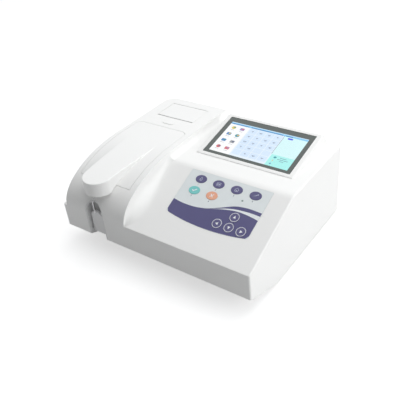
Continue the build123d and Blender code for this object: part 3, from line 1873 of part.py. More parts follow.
nut_front_y = rear - shell_wall - panel_thickness - nut_thickness
waste_turn_y = front + waste_turn_depth
with BuildLine() as waste_route:
    FilletPolyline(
        (waste_leg_x, pump_y + pump_leg, tube_z),
        (waste_leg_x, waste_drop_y, tube_z),
        (waste_leg_x, waste_drop_y, waste_run_height),
        (waste_leg_x, waste_turn_y, waste_run_height),
        (waste_x, waste_turn_y, waste_height),
        (waste_x, nut_front_y, waste_height),
        radius=hose_bend,
    )
with BuildPart() as waste_tube:
    waste_line = waste_route.wires()[0]
    sweep(ring_section(waste_line, tube_radius, tube_bore), path=waste_line)
keep(waste_tube, "waste_tube")

# Rear panel with its cut-outs
panel_front_y = rear - shell_wall - panel_thickness
inlet_x = entry_x + inlet_shift
fuse_x = entry_x + fuse_shift
switch_x = entry_x + switch_shift

with BuildPart() as rear_panel:
    block(
        (panel_left, panel_right),
        (panel_front_y, panel_front_y + panel_thickness),
        (panel_low, panel_high),
    )
    block(
        (entry_x - entry_width / 2 + entry_lip - fit_gap, entry_x + entry_width / 2 - entry_lip + fit_gap),
        (panel_front_y - 1, rear),
        (
            entry_height - entry_tall / 2 + entry_lip - fit_gap,
            entry_height + entry_tall / 2 - entry_lip + fit_gap,
        ),
        mode=Mode.SUBTRACT,
    )
    block(
        (serial_x - serial_width / 2 - fit_gap, serial_x + serial_width / 2 + fit_gap),
        (panel_front_y - 1, rear),
        (port_height - serial_tall / 2 - fit_gap, port_height + serial_tall / 2 + fit_gap),
        mode=Mode.SUBTRACT,
    )
    block(
        (usb_x - usb_width / 2 - fit_gap, usb_x + usb_width / 2 + fit_gap),
        (panel_front_y - 1, rear),
        (port_height - usb_tall / 2 - fit_gap, port_height + usb_tall / 2 + fit_gap),
        mode=Mode.SUBTRACT,
    )
    rod(
        (waste_x, panel_front_y - 1, waste_height),
        (0, 1, 0),
        fitting_radius + fit_gap,
        2 * shell_wall,
        mode=Mode.SUBTRACT,
    )
    fan_plane = Plane(origin=(fan_x, panel_front_y - 1, fan_height), x_dir=(1, 0, 0), z_dir=(0, 1, 0))
    with BuildSketch(fan_plane):
        with GridLocations(vent_pitch, 0, vent_count, 1):
            SlotOverall(2 * fan_bore_radius - vent_pitch, vent_width, rotation=90)
    extrude(amount=2 * shell_wall, mode=Mode.SUBTRACT)
    vent_plane = Plane(origin=(vent_x, panel_front_y - 1, fan_height), x_dir=(1, 0, 0), z_dir=(0, 1, 0))
    with BuildSketch(vent_plane):
        with GridLocations(vent_pitch, 0, 2 * vent_count, 1):
            SlotOverall(vent_length, vent_width, rotation=90)
    extrude(amount=2 * shell_wall, mode=Mode.SUBTRACT)
keep(rear_panel, "rear_panel")

entry_face_y = rear - shell_wall + entry_flange
entry_back_y = rear - shell_wall - entry_body
with BuildPart() as mains_inlet:
    block(
        (entry_x - entry_width / 2, entry_x + entry_width / 2),
        (rear - shell_wall, entry_face_y),
        (entry_height - entry_tall / 2, entry_height + entry_tall / 2),
    )
    block(
        (entry_x - entry_width / 2 + entry_lip, entry_x + entry_width / 2 - entry_lip),
        (entry_back_y, rear - shell_wall),
        (entry_height - entry_tall / 2 + entry_lip, entry_height + entry_tall / 2 - entry_lip),
    )
    with BuildSketch(Plane(origin=(inlet_x, entry_face_y, entry_height), x_dir=(-1, 0, 0), z_dir=(0, 1, 0))):
        Rectangle(inlet_width, inlet_tall)
        chamfer(vertices().group_by(Axis.Y)[-1], length=inlet_corner)
    extrude(amount=-inlet_depth, mode=Mode.SUBTRACT)
    for shift_x, shift_z in ((-inlet_pin_pitch, -1), (inlet_pin_pitch, -1), (0, 3)):
        block(
            (inlet_x + shift_x - 1, inlet_x + shift_x + 1),
            (entry_face_y - inlet_depth - 1, entry_face_y - inlet_depth + inlet_pin_length),
            (entry_height + shift_z - 2, entry_height + shift_z + 2),
        )
    block(
        (fuse_x - fuse_width / 2 - fit_gap, fuse_x + fuse_width / 2 + fit_gap),
        (entry_face_y - fuse_length - fit_gap, entry_face_y + 1),
        (entry_height - fuse_tall / 2 - fit_gap, entry_height + fuse_tall / 2 + fit_gap),
        mode=Mode.SUBTRACT,
    )
    block(
        (switch_x - switch_width / 2 - fit_gap, switch_x + switch_width / 2 + fit_gap),
        (entry_face_y - switch_room, entry_face_y + 1),
        (entry_height - switch_tall / 2 - 3 * fit_gap, entry_height + switch_tall / 2 + 3 * fit_gap),
        mode=Mode.SUBTRACT,
    )
    rod(
        (
            switch_x - switch_width / 2 - rocker_pin_length - fit_gap,
            switch_axis_y,
            entry_height,
        ),
        (1, 0, 0),
        rocker_pin_radius + running_gap,
        switch_width + 2 * (rocker_pin_length + fit_gap),
        mode=Mode.SUBTRACT,
    )
keep(mains_inlet, "mains_inlet")

with BuildPart() as fuse_drawer:
    block(
        (fuse_x - fuse_width / 2, fuse_x + fuse_width / 2),
        (entry_face_y - fuse_length, entry_face_y + fuse_rise),
        (entry_height - fuse_tall / 2, entry_height + fuse_tall / 2),
    )
    block(
        (fuse_x - fuse_width / 2 + 1, fuse_x + fuse_width / 2 + 1),
        (entry_face_y - fuse_length + 2, entry_face_y - fuse_rise - 3),
        (entry_height - fuse_tall / 2 + 2, entry_height + fuse_tall / 2 - 2),
        mode=Mode.SUBTRACT,
    )
keep(fuse_drawer, "fuse_drawer")

# Rocker of the power switch, shown tilted to its rest side
rocker_plane = Plane(origin=(switch_x, switch_axis_y, entry_height), x_dir=(1, 0, 0), z_dir=(0, -1, 0))
rocker_plane = rocker_plane.rotated((-switch_tilt, 0, 0))
with BuildPart() as power_switch:
    with BuildSketch(rocker_plane):
        Rectangle(switch_width, switch_tall)
    extrude(amount=-rocker_front)
    extrude(power_switch.faces().sort_by(Axis.Y)[0], amount=rocker_back)
    rod(
        (switch_x - switch_width / 2 - rocker_pin_length, switch_axis_y, entry_height),
        (1, 0, 0),
        rocker_pin_radius,
        switch_width + 2 * rocker_pin_length,
    )
keep(power_switch, "power_switch")

with BuildPart() as fan_housing:
    fan_back_y = panel_front_y - fan_depth
    with BuildSketch(Plane(origin=(fan_x, fan_back_y, fan_height), z_dir=(0, 1, 0))):
        RectangleRounded(fan_size, fan_size, fan_corner_radius)
        Circle(fan_bore_radius, mode=Mode.SUBTRACT)
    extrude(amount=fan_depth)
    with BuildSketch(Plane(origin=(fan_x, fan_back_y, fan_height), z_dir=(0, 1, 0))):
        Circle(fan_hub_radius)
        with PolarLocations(0, 4):
            with Locations((fan_bore_radius / 2, 0)):
                Rectangle(fan_bore_radius + 1, fan_spoke_width)
    extrude(amount=fan_frame_plate)
    rod(
        (fan_x, fan_back_y - 1, fan_height),
        (0, 1, 0),
        fan_shaft_radius + running_gap,
        fan_depth,
        mode=Mode.SUBTRACT,
    )
keep(fan_housing, "fan_housing")

with BuildPart() as fan_rotor:
    rotor_start_y = fan_back_y + fan_frame_plate + fit_gap
    rotor_length = fan_depth - fan_frame_plate - 3 * fit_gap
    rod((fan_x, rotor_start_y, fan_height), (0, 1, 0), fan_hub_radius, rotor_length)
    rod((fan_x, fan_back_y, fan_height), (0, 1, 0), fan_shaft_radius, fan_frame_plate + 1)
    blade_span = fan_bore_radius - fan_tip_gap - fan_hub_radius + 1
    pitch = radians(fan_blade_pitch)
    for index in range(fan_blade_count):
        turn = radians(360 / fan_blade_count * index)
        outward = Vector(cos(turn), 0, sin(turn))
        sideways = Vector(-sin(turn), 0, cos(turn))
        chord = sideways * cos(pitch) + Vector(0, 1, 0) * sin(pitch)
        hub_centre = Vector(fan_x, rotor_start_y + rotor_length / 2, fan_height)
        start = hub_centre + outward * (fan_hub_radius - 1)
        with BuildSketch(Plane(origin=start, x_dir=chord, z_dir=outward)):
            Rectangle(fan_blade_chord, fan_blade_thickness)
        extrude(amount=blade_span)
keep(fan_rotor, "fan_rotor")

with BuildPart() as data_ports:
    for port_x, width, tall, lip in (
        (serial_x, serial_width, serial_tall, serial_wall),
        (usb_x, usb_width, usb_tall, usb_wall),
    ):
        block(
            (port_x - width / 2, port_x + width / 2),
            (rear - shell_wall - port_body, rear - shell_wall + 1),
            (port_height - tall / 2, port_height + tall / 2),
        )
        block(
            (port_x - width / 2 + lip, port_x + width / 2 - lip),
            (rear - shell_wall - port_body / 2, rear),
            (port_height - tall / 2 + usb_wall, port_height + tall / 2 - usb_wall),
            mode=Mode.SUBTRACT,
        )
keep(data_ports, "data_ports")

with BuildPart() as waste_fitting:
    rod((waste_x, rear - shell_wall, waste_height), (0, 1, 0), fitting_flange, shell_wall / 2)
    rod((waste_x, nut_front_y, waste_height), (0, 1, 0), fitting_radius, nut_thickness + shell_wall)
    rod((waste_x, rear - shell_wall, waste_height), (0, 1, 0), barb_radius, shell_wall)
    rod((waste_x, nut_front_y, waste_height), (0, 1, 0), fitting_flange - 1, nut_thickness)
    rod((waste_x, nut_front_y - port_length, waste_height), (0, 1, 0), tube_bore - running_gap, port_length)
    rod((waste_x, nut_front_y + 1, waste_height), (0, 1, 0), tube_bore, 3 * shell_wall, mode=Mode.SUBTRACT)
keep(waste_fitting, "waste_fitting")

# Electronics on their standoffs
board_level = foot_height + floor_wall + board_standoff
with BuildPart() as main_board:
    board_x, board_y = board_centre[0], front + board_centre[1]
    block(
        (board_x - board_size[0] / 2, board_x + board_size[0] / 2),
        (board_y - board_size[1] / 2, board_y + board_size[1] / 2),
        (board_level, board_level + board_thickness),
    )
    board_top = board_level + board_thickness
    for shift_x, shift_y, width, length, tall in main_board_chips:
        block(
            (board_x + shift_x - width / 2, board_x + shift_x + width / 2),
            (board_y + shift_y - length / 2, board_y + shift_y + length / 2),
            (board_top, board_top + tall),
        )
keep(main_board, "main_board")

with BuildPart() as power_supply:
    supply_x, supply_y = supply_centre[0], front + supply_centre[1]
    block(
        (supply_x - supply_size[0] / 2, supply_x + supply_size[0] / 2),
        (supply_y - supply_size[1] / 2, supply_y + supply_size[1] / 2),
        (board_level, board_level + board_thickness),
    )
    for shift_x, shift_y, width, length, tall in supply_blocks:
        block(
            (supply_x + shift_x - width / 2, supply_x + shift_x + width / 2),
            (supply_y + shift_y - length / 2, supply_y + shift_y + length / 2),
            (board_top, board_top + tall),
        )
    for shift_x, shift_y in supply_capacitors:
        rod(
            (supply_x + shift_x, supply_y + shift_y, board_top),
            (0, 0, 1),
            capacitor_radius,
            capacitor_height,
        )
keep(power_supply, "power_supply")

os.makedirs("parts", exist_ok=True)
for name, piece in parts.items():
    export_step(piece, f"parts/{name}.step")
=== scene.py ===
"""Looks of a semi-automatic biochemistry analyzer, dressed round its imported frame.

The frame brings every solid of the instrument. This script adds the printed keypad, the lit
screen and the small fittings, gives each surface its finish, and lights it in a white studio.
Lengths in the sub-assemblies are millimetres; the scene itself is in metres.
"""

from __future__ import annotations

import logging
import math
from collections.abc import Iterable, Sequence
from dataclasses import dataclass, field
from enum import Enum
from typing import Any, Union

import bmesh
import bpy
from mathutils import Matrix, Vector


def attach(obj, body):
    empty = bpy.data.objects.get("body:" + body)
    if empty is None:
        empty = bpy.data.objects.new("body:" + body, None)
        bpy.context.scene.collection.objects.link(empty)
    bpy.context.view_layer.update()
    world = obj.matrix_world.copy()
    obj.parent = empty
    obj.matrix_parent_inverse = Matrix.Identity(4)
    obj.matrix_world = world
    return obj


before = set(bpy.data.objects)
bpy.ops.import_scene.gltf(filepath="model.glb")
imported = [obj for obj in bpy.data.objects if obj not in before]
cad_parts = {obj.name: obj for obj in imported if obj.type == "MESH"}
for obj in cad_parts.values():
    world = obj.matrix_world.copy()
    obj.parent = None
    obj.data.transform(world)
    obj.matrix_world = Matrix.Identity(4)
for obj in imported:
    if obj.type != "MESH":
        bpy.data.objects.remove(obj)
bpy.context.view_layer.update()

MM = 0.001
FULL_TURN = 2 * math.pi
ROUND_STEPS = 48
CORNER_STEPS = 5
SHARP_ANGLE = math.radians(32)
WELD = 1e-7
WHITE = (1.0, 1.0, 1.0)
NEAR_BLACK = (0.02, 0.02, 0.02)
DUST = (0.5, 0.5, 0.48)

Colour = tuple[float, float, float]
Point = tuple[float, float]
Place = tuple[float, float, float]
Loop = list[Point]
Span = tuple[float, float]
Outline = tuple[Point, ...]

UPWARD = (0, 0, 1)
REARWARD = (0, 1, 0)
TO_REAR = Matrix(((-1, 0, 0, 0), (0, 0, 1, 0), (0, 1, 0, 0), (0, 0, 0, 1)))

log = logging.getLogger("analyzer")


# Shader helpers


class Shade:
    """A number socket of a finish that can be used in plain arithmetic."""

    def __init__(self, recipe: Recipe, socket: bpy.types.NodeSocket) -> None:
        """Wrap a socket.

        Args:
            recipe: The finish whose tree holds the socket.
            socket: The output to wrap.
        """
        self.recipe = recipe
        self.socket = socket

    def _with(self, operation: str, first: Value, second: Value) -> Shade:
        """Return the result of a Math node on two values."""
        made = self.recipe.node("ShaderNodeMath", {"operation": operation}, {0: first, 1: second})
        return Shade(self.recipe, made.outputs[0])

    def __add__(self, other: Value) -> Shade:
        """Return self + other."""
        return self._with("ADD", self, other)

    def __radd__(self, other: Value) -> Shade:
        """Return other + self."""
        return self._with("ADD", other, self)

    def __sub__(self, other: Value) -> Shade:
        """Return self - other."""
        return self._with("SUBTRACT", self, other)

    def __rsub__(self, other: Value) -> Shade:
        """Return other - self."""
        return self._with("SUBTRACT", other, self)

    def __mul__(self, other: Value) -> Shade:
        """Return self * other."""
        return self._with("MULTIPLY", self, other)

    def __rmul__(self, other: Value) -> Shade:
        """Return other * self."""
        return self._with("MULTIPLY", other, self)

    def __truediv__(self, other: Value) -> Shade:
        """Return self / other."""
        return self._with("DIVIDE", self, other)

    def __gt__(self, other: Value) -> Shade:
        """Return 1 where self is larger than other, else 0."""
        return self._with("GREATER_THAN", self, other)

    def __lt__(self, other: Value) -> Shade:
        """Return 1 where self is smaller than other, else 0."""
        return self._with("LESS_THAN", self, other)

    def __mod__(self, other: Value) -> Shade:
        """Return what is left of self after whole steps of other."""
        return self._with("FLOORED_MODULO", self, other)

    def __pow__(self, other: Value) -> Shade:
        """Return self to the power of other."""
        return self._with("POWER", self, other)

    def angle_over(self, other: Value) -> Shade:
        """Return the angle of the point (other, self), in radians."""
        return self._with("ARCTAN2", self, other)


Value = Union[Shade, float, Sequence[float], bpy.types.NodeSocket]


class Recipe:
    """The node tree of one finish, written node by node."""

    def __init__(self, name: str) -> None:
        """Start an empty finish.

        Args:
            name: The material's name.
        """
        self.material = bpy.data.materials.new(name)
        self.material.use_nodes = True
        self.tree = self.material.node_tree
        self.surface = self.tree.nodes["Principled BSDF"]
        self.output = self.tree.nodes["Material Output"]
        self._place: bpy.types.NodeSocket | None = None

    def node(
        self,
        kind: str,
        settings: dict[str, Any] | None = None,
        sockets: dict[str | int, Value] | None = None,
    ) -> bpy.types.Node:
        """Make one node.

        Args:
            kind: The node's type.
            settings: Its settings, which are made first.
            sockets: A value or a link for each input, by name or number.

        Returns:
            The new node.
        """
        made = self.tree.nodes.new(kind)
        for key, value in (settings or {}).items():
            setattr(made, key, value)
        for key, value in (sockets or {}).items():
            self.feed(made.inputs[key], value)
        return made

    def feed(self, socket: bpy.types.NodeSocket, value: Value) -> None:
        """Link a socket, or set its own number or colour.

        Args:
            socket: The input.
            value: What goes into it.
        """
        if isinstance(value, Shade):
            value = value.socket
        if isinstance(value, bpy.types.NodeSocket):
            self.tree.links.new(value, socket)
        elif isinstance(value, (int, float)):
            socket.default_value = value
        elif socket.type == "RGBA":
            socket.default_value = (*value[:3], 1.0)
        else:
            socket.default_value = value

    def place(self) -> bpy.types.NodeSocket:
        """Find the place on the instrument, in metres.

        Returns:
            The place, from one node per finish.
        """
        if self._place is None:
            self._place = self.node("ShaderNodeTexCoord").outputs["Object"]
        return self._place

    def stretched(self, along: Place) -> bpy.types.NodeSocket:
        """Scale the place along each axis, for drawn or turned looks.

        Args:
            along: The factor of each axis.

        Returns:
            The scaled place.
        """
        made = self.node(
            "ShaderNodeVectorMath", {"operation": "MULTIPLY"}, {0: self.place(), 1: along}
        )
        return made.outputs[0]

    def axes(self) -> tuple[Shade, Shade, Shade]:
        """Return the place's three coordinates, in metres."""
        made = self.node("ShaderNodeSeparateXYZ", None, {0: self.place()})
        return tuple(Shade(self, made.outputs[i]) for i in range(3))

    def noise(self, size: float, detail: float = 2.0, where: Value | None = None) -> Shade:
        """Make a soft noise.

        Args:
            size: The size of its features, in millimetres.
            detail: How many finer layers it has.
            where: The place that it reads, or the plain one if left out.

        Returns:
            A value from 0 to 1.
        """
        made = self.node(
            "ShaderNodeTexNoise",
            None,
            {"Vector": where or self.place(), "Scale": 1 / (size * MM), "Detail": detail},
        )
        return Shade(self, made.outputs["Fac"])

    def pebbles(self, size: float, softness: float = 0.6) -> Shade:
        """Make rounded cells.

        Args:
            size: The distance between cells, in millimetres.
            softness: How far the cells melt into each other.

        Returns:
            The distance from the nearest cell's middle.
        """
        made = self.node(
            "ShaderNodeTexVoronoi",
            {"feature": "SMOOTH_F1"},
            {"Vector": self.place(), "Scale": 1 / (size * MM), "Smoothness": softness},
        )
        return Shade(self, made.outputs["Distance"])

    def mix(self, share: Value, first: Value, second: Value) -> bpy.types.NodeSocket:
        """Return a colour between two colours."""
        made = self.node("ShaderNodeMix", {"data_type": "RGBA"}, {0: share, 6: first, 7: second})
        return made.outputs[2]

    def toned(self, share: Value, colour: Colour, tones: Span) -> bpy.types.NodeSocket:
        """Return a colour that runs from one tone of itself to another."""
        return self.mix(share, shaded(colour, tones[0]), shaded(colour, tones[1]))

    def relief(self, height: Value, depth: float) -> bpy.types.NodeSocket:
        """Bend the light over a fine relief.

        Args:
            height: The height, from 0 to 1.
            depth: What a height of 1 stands for, in millimetres.

        Returns:
            The normal.
        """
        made = self.node(
            "ShaderNodeBump", None, {"Strength": 1.0, "Distance": depth * MM, "Height": height}
        )
        return made.outputs[0]

    def dress(self, **inputs: Value) -> bpy.types.Material:
        """Feed the surface shader and return the finished material.

        Args:
            **inputs: Values by the shader's input name, with _ for a space.

        Returns:
            The material.
        """
        for key, value in inputs.items():
            self.feed(self.surface.inputs[key.replace("_", " ")], value)
        return self.material


def shaded(colour: Colour, factor: float) -> Colour:
    """Return a colour made lighter or darker by a factor."""
    return tuple(min(1.0, channel * factor) for channel in colour)


# Finishes


@dataclass(frozen=True)
class MouldedPlastic:
    """Injection-moulded plastic with a fine spark-eroded grain."""

    name: str
    colour: Colour
    roughness: float = 0.48
    gloss_spread: float = 0.10
    grain: float = 0.55
    grain_depth: float = 0.010
    fine_grain: float = 0.6
    fine_share: float = 0.3
    tones: Span = (0.975, 1.025)
    sheen_patch: float = 60.0
    specular: float = 0.35
    coat: float = 0.0
    coat_roughness: float = 0.12

    def make(self) -> bpy.types.Material:
        """Write the node tree.

        Returns:
            The finished material.
        """
        recipe = Recipe(self.name)
        patch = recipe.noise(self.sheen_patch, 3.0)
        speck = recipe.noise(self.grain * 3, 2.0)
        coarse_share = 1 - self.fine_share
        cloud = patch * coarse_share + speck * self.fine_share
        coarse = recipe.pebbles(self.grain) * coarse_share
        grain = coarse + recipe.noise(self.grain * self.fine_grain) * self.fine_share
        return recipe.dress(
            Base_Color=recipe.toned(cloud, self.colour, self.tones),
            Roughness=self.roughness - self.gloss_spread / 2 + patch * self.gloss_spread,
            Normal=recipe.relief(grain, self.grain_depth),
            Coat_Weight=self.coat,
            Coat_Roughness=self.coat_roughness,
            Specular_IOR_Level=self.specular,
        )


@dataclass(frozen=True)
class PrintedFilm:
    """Screen-printed polyester film with its fine matt emboss."""

    name: str
    colour: Colour
    roughness: float = 0.38
    gloss_spread: float = 0.08
    tones: Span = (0.965, 1.035)
    cloud_size: float = 14.0
    emboss: float = 0.28
    emboss_depth: float = 0.004
    coat: float = 0.25
    coat_roughness: float = 0.2

    def make(self) -> bpy.types.Material:
        """Write the node tree.

        Returns:
            The finished material.
        """
        recipe = Recipe(self.name)
        cloud = recipe.noise(self.cloud_size, 3.0)
        return recipe.dress(
            Base_Color=recipe.toned(cloud, self.colour, self.tones),
            Roughness=self.roughness - self.gloss_spread / 2 + cloud * self.gloss_spread,
            Normal=recipe.relief(recipe.pebbles(self.emboss), self.emboss_depth),
            Coat_Weight=self.coat,
            Coat_Roughness=self.coat_roughness,
        )


@dataclass(frozen=True)
class LitPicture:
    """A patch of colour on the lit display, behind its glass."""

    name: str
    colour: Colour
    glow: float = 0.74
    body: float = 0.3
    dot: float = 0.25
    gap: float = 0.12
    gap_tone: float = 0.6
    gap_glow: float = 0.25
    gap_body: float = 0.2
    tones: Span = (0.96, 1.03)
    drift_size: float = 45.0

    def make(self) -> bpy.types.Material:
        """Write the node tree.

        Returns:
            The finished material.
        """
        recipe = Recipe(self.name)
        across, along, _ = recipe.axes()
        step = self.dot * MM
        gap = ((across % step) < step * self.gap) + ((along % step) < step * self.gap)
        lit = recipe.toned(recipe.noise(self.drift_size, 1.0), self.colour, self.tones)
        face = shaded(self.colour, self.body)
        return recipe.dress(
            Base_Color=recipe.mix(gap * self.gap_body, face, NEAR_BLACK),
            Emission_Color=recipe.mix(gap * self.gap_glow, lit, shaded(self.colour, self.gap_tone)),
            Emission_Strength=self.glow,
            Roughness=0.3,
            Coat_Weight=0.7,
            Coat_Roughness=0.03,
        )


@dataclass(frozen=True)
class Metal:
    """Bare or anodised metal with drawn or turned tool marks."""

    name: str
    colour: Colour
    roughness: float = 0.3
    drawn: Place = (1.0, 1.0, 0.06)
    mark: float = 0.25
    mark_depth: float = 0.006
    metallic: float = 1.0
    tones: Span = (0.88, 1.1)
    patch_size: float = 18.0
    patch_gloss: float = 0.06
    mark_gloss: float = 0.08

    def make(self) -> bpy.types.Material:
        """Write the node tree.

        Returns:
            The finished material.
        """
        recipe = Recipe(self.name)
        streak = recipe.noise(self.mark, 4.0, recipe.stretched(self.drawn))
        patch = recipe.noise(self.patch_size, 3.0)
        dull = self.roughness - self.patch_gloss + streak * self.mark_gloss
        return recipe.dress(
            Base_Color=recipe.toned(streak, self.colour, self.tones),
            Metallic=self.metallic,
            Roughness=dull + patch * self.patch_gloss,
            Normal=recipe.relief(streak, self.mark_depth),
        )


@dataclass(frozen=True)
class Rubber:
    """Soft rubber or silicone with a dusty bloom."""

    name: str
    colour: Colour
    roughness: float = 0.6
    bloom: float = 0.15
    bloom_size: float = 5.0
    bloom_dulls: float = 0.12
    grain: float = 0.5
    grain_depth: float = 0.02
    clear: float = 0.0
    bending: float = 1.41

    def make(self) -> bpy.types.Material:
        """Write the node tree.

        Returns:
            The finished material.
        """
        recipe = Recipe(self.name)
        dust = recipe.noise(self.bloom_size, 4.0)
        return recipe.dress(
            Base_Color=recipe.mix(dust * self.bloom, self.colour, DUST),
            Roughness=self.roughness + dust * self.bloom_dulls,
            Normal=recipe.relief(recipe.noise(self.grain, 3.0), self.grain_depth),
            Transmission_Weight=self.clear,
            IOR=self.bending,
        )


@dataclass(frozen=True)
class ClearGlass:
    """Polished glass or quartz with faint smudges."""

    name: str
    colour: Colour
    clear: float = 0.95
    roughness: float = 0.02
    smudge_size: float = 6.0
    smudge_dulls: float = 0.03
    tones: Span = (1.0, 0.95)
    bending: float = 1.47

    def make(self) -> bpy.types.Material:
        """Write the node tree.

        Returns:
            The finished material.
        """
        recipe = Recipe(self.name)
        smudge = recipe.noise(self.smudge_size, 4.0)
        return recipe.dress(
            Base_Color=recipe.toned(smudge, self.colour, self.tones),
            Roughness=self.roughness + smudge * self.smudge_dulls,
            Transmission_Weight=self.clear,
            IOR=self.bending,
        )


@dataclass(frozen=True)
class PanelGlass:
    """The printed border of the touch panel, under hard glossy glass."""

    name: str
    colour: Colour
    roughness: float = 0.10
    tones: Span = (0.85, 1.2)
    smear_size: float = 22.0
    smear_dulls: float = 0.06
    speck_size: float = 1.5
    speck_dulls: float = 0.02
    specular: float = 0.6
    coat: float = 0.8
    coat_roughness: float = 0.04

    def make(self) -> bpy.types.Material:
        """Write the node tree.

        Returns:
            The finished material.
        """
        recipe = Recipe(self.name)
        smear = recipe.noise(self.smear_size, 4.0)
        speck = recipe.noise(self.speck_size, 2.0)
        return recipe.dress(
            Base_Color=recipe.toned(smear, self.colour, self.tones),
            Roughness=self.roughness + smear * self.smear_dulls + speck * self.speck_dulls,
            Coat_Weight=self.coat,
            Coat_Roughness=self.coat_roughness,
            Specular_IOR_Level=self.specular,
        )


@dataclass(frozen=True)
class CoatedFilters:
    """Interference filters whose hue changes from one seat of the wheel to the next."""

    name: str
    centre: Place
    seats: int = 8
    strength: float = 0.75
    bloom_size: float = 3.0
    bloom_share: float = 0.2
    bloom_colour: Colour = (0.8, 0.8, 0.85)
    roughness: float = 0.06
    bloom_dulls: float = 0.05
    metallic: float = 0.7

    def make(self) -> bpy.types.Material:
        """Write the node tree.

        Returns:
            The finished material.
        """
        recipe = Recipe(self.name)
        across, _, up = recipe.axes()
        turn = (up - self.centre[2]).angle_over(across - self.centre[0]) / FULL_TURN + 1.0
        seat = (turn % 1.0) * self.seats + 0.5
        hue = (seat - (seat % 1.0)) / self.seats
        parts = {0: hue, 1: self.strength, 2: self.strength}
        rainbow = recipe.node("ShaderNodeCombineColor", {"mode": "HSV"}, parts).outputs[0]
        bloom = recipe.noise(self.bloom_size, 3.0)
        return recipe.dress(
            Base_Color=recipe.mix(bloom * self.bloom_share, rainbow, self.bloom_colour),
            Roughness=self.roughness + bloom * self.bloom_dulls,
            Metallic=self.metallic,
            Coat_Weight=1.0,
        )


@dataclass(frozen=True)
class CircuitBoard:
    """Solder mask with tracks, pads and silkscreen dots."""

    name: str
    colour: Colour
    pitch: float = 2.54
    track: float = 0.3
    track_tone: float = 1.7
    bend_size: float = 16.0
    bend_steps: float = 8
    zone_size: float = 20.0
    pad_reach: float = 0.03
    pad_cloud: float = 9.0
    pad_rarity: float = 0.56
    tin: Colour = (0.75, 0.73, 0.66)
    tin_metallic: float = 0.9
    roughness: float = 0.42
    tin_gloss: float = 0.15
    gloss_spread: float = 0.08
    height: float = 0.03

    def make(self) -> bpy.types.Material:
        """Write the node tree.

        Returns:
            The finished material.
        """
        recipe = Recipe(self.name)
        across, along, _ = recipe.axes()
        step = self.pitch * MM
        bend = recipe.noise(self.bend_size, 0.0) * step * self.bend_steps
        across_track = ((across + bend) % step) < step * self.track
        along_track = ((along + bend) % (step * 2)) < step * self.track
        zone = recipe.noise(self.zone_size, 1.0) > 0.5
        tracks = across_track * zone + along_track * (1 - zone)
        hole_x = ((across % step) - step / 2) / step
        hole_y = ((along % step) - step / 2) / step
        hole = (hole_x * hole_x + hole_y * hole_y) < self.pad_reach
        pad = hole * (recipe.noise(self.pad_cloud, 0.0) > self.pad_rarity)
        mask = recipe.toned(tracks, self.colour, (1.0, self.track_tone))
        dull = self.roughness - pad * self.tin_gloss
        return recipe.dress(
            Base_Color=recipe.mix(pad, mask, self.tin),
            Metallic=pad * self.tin_metallic,
            Roughness=dull + recipe.noise(4.0) * self.gloss_spread,
            Normal=recipe.relief(tracks + pad, self.height),
        )


@dataclass(frozen=True)
class RollPaper:
    """Thermal paper wound on its core, with the edges of the turns showing."""

    name: str
    centre: Place
    turn: float = 0.35
    turn_share: float = 0.5
    fibre_share: float = 0.3
    fibre_size: float = 0.8
    bright: Colour = (0.93, 0.93, 0.91)
    edge: Colour = (0.78, 0.78, 0.75)
    roughness: float = 0.68
    fibre_dulls: float = 0.12
    depth: float = 0.03

    def make(self) -> bpy.types.Material:
        """Write the node tree.

        Returns:
            The finished material.
        """
        recipe = Recipe(self.name)
        _, along, up = recipe.axes()
        reach_y, reach_z = along - self.centre[1], up - self.centre[2]
        radius = (reach_y * reach_y + reach_z * reach_z) ** 0.5
        ring = (radius % (self.turn * MM)) / (self.turn * MM)
        fibre = recipe.noise(self.fibre_size, 4.0)
        worn = ring * self.turn_share + fibre * self.fibre_share
        return recipe.dress(
            Base_Color=recipe.mix(worn, self.bright, self.edge),
            Roughness=self.roughness + fibre * self.fibre_dulls,
            Normal=recipe.relief(fibre * 0.5 + ring * 0.5, self.depth),
        )


@dataclass(frozen=True)
class Lens:
    """The coloured lens of the status light, faintly lit."""

    name: str
    colour: Colour
    glow: float = 0.25
    core_size: float = 1.2
    body_tones: Span = (1.0, 1.4)
    glow_tones: Span = (1.0, 1.2)
    roughness: float = 0.12
    core_dulls: float = 0.08
    coat: float = 0.8

    def make(self) -> bpy.types.Material:
        """Write the node tree.

        Returns:
            The finished material.
        """
        recipe = Recipe(self.name)
        core = recipe.noise(self.core_size, 2.0)
        return recipe.dress(
            Base_Color=recipe.toned(core, self.colour, self.body_tones),
            Emission_Color=recipe.toned(core, self.colour, self.glow_tones),
            Emission_Strength=self.glow,
            Roughness=self.roughness + core * self.core_dulls,
            Coat_Weight=self.coat,
        )


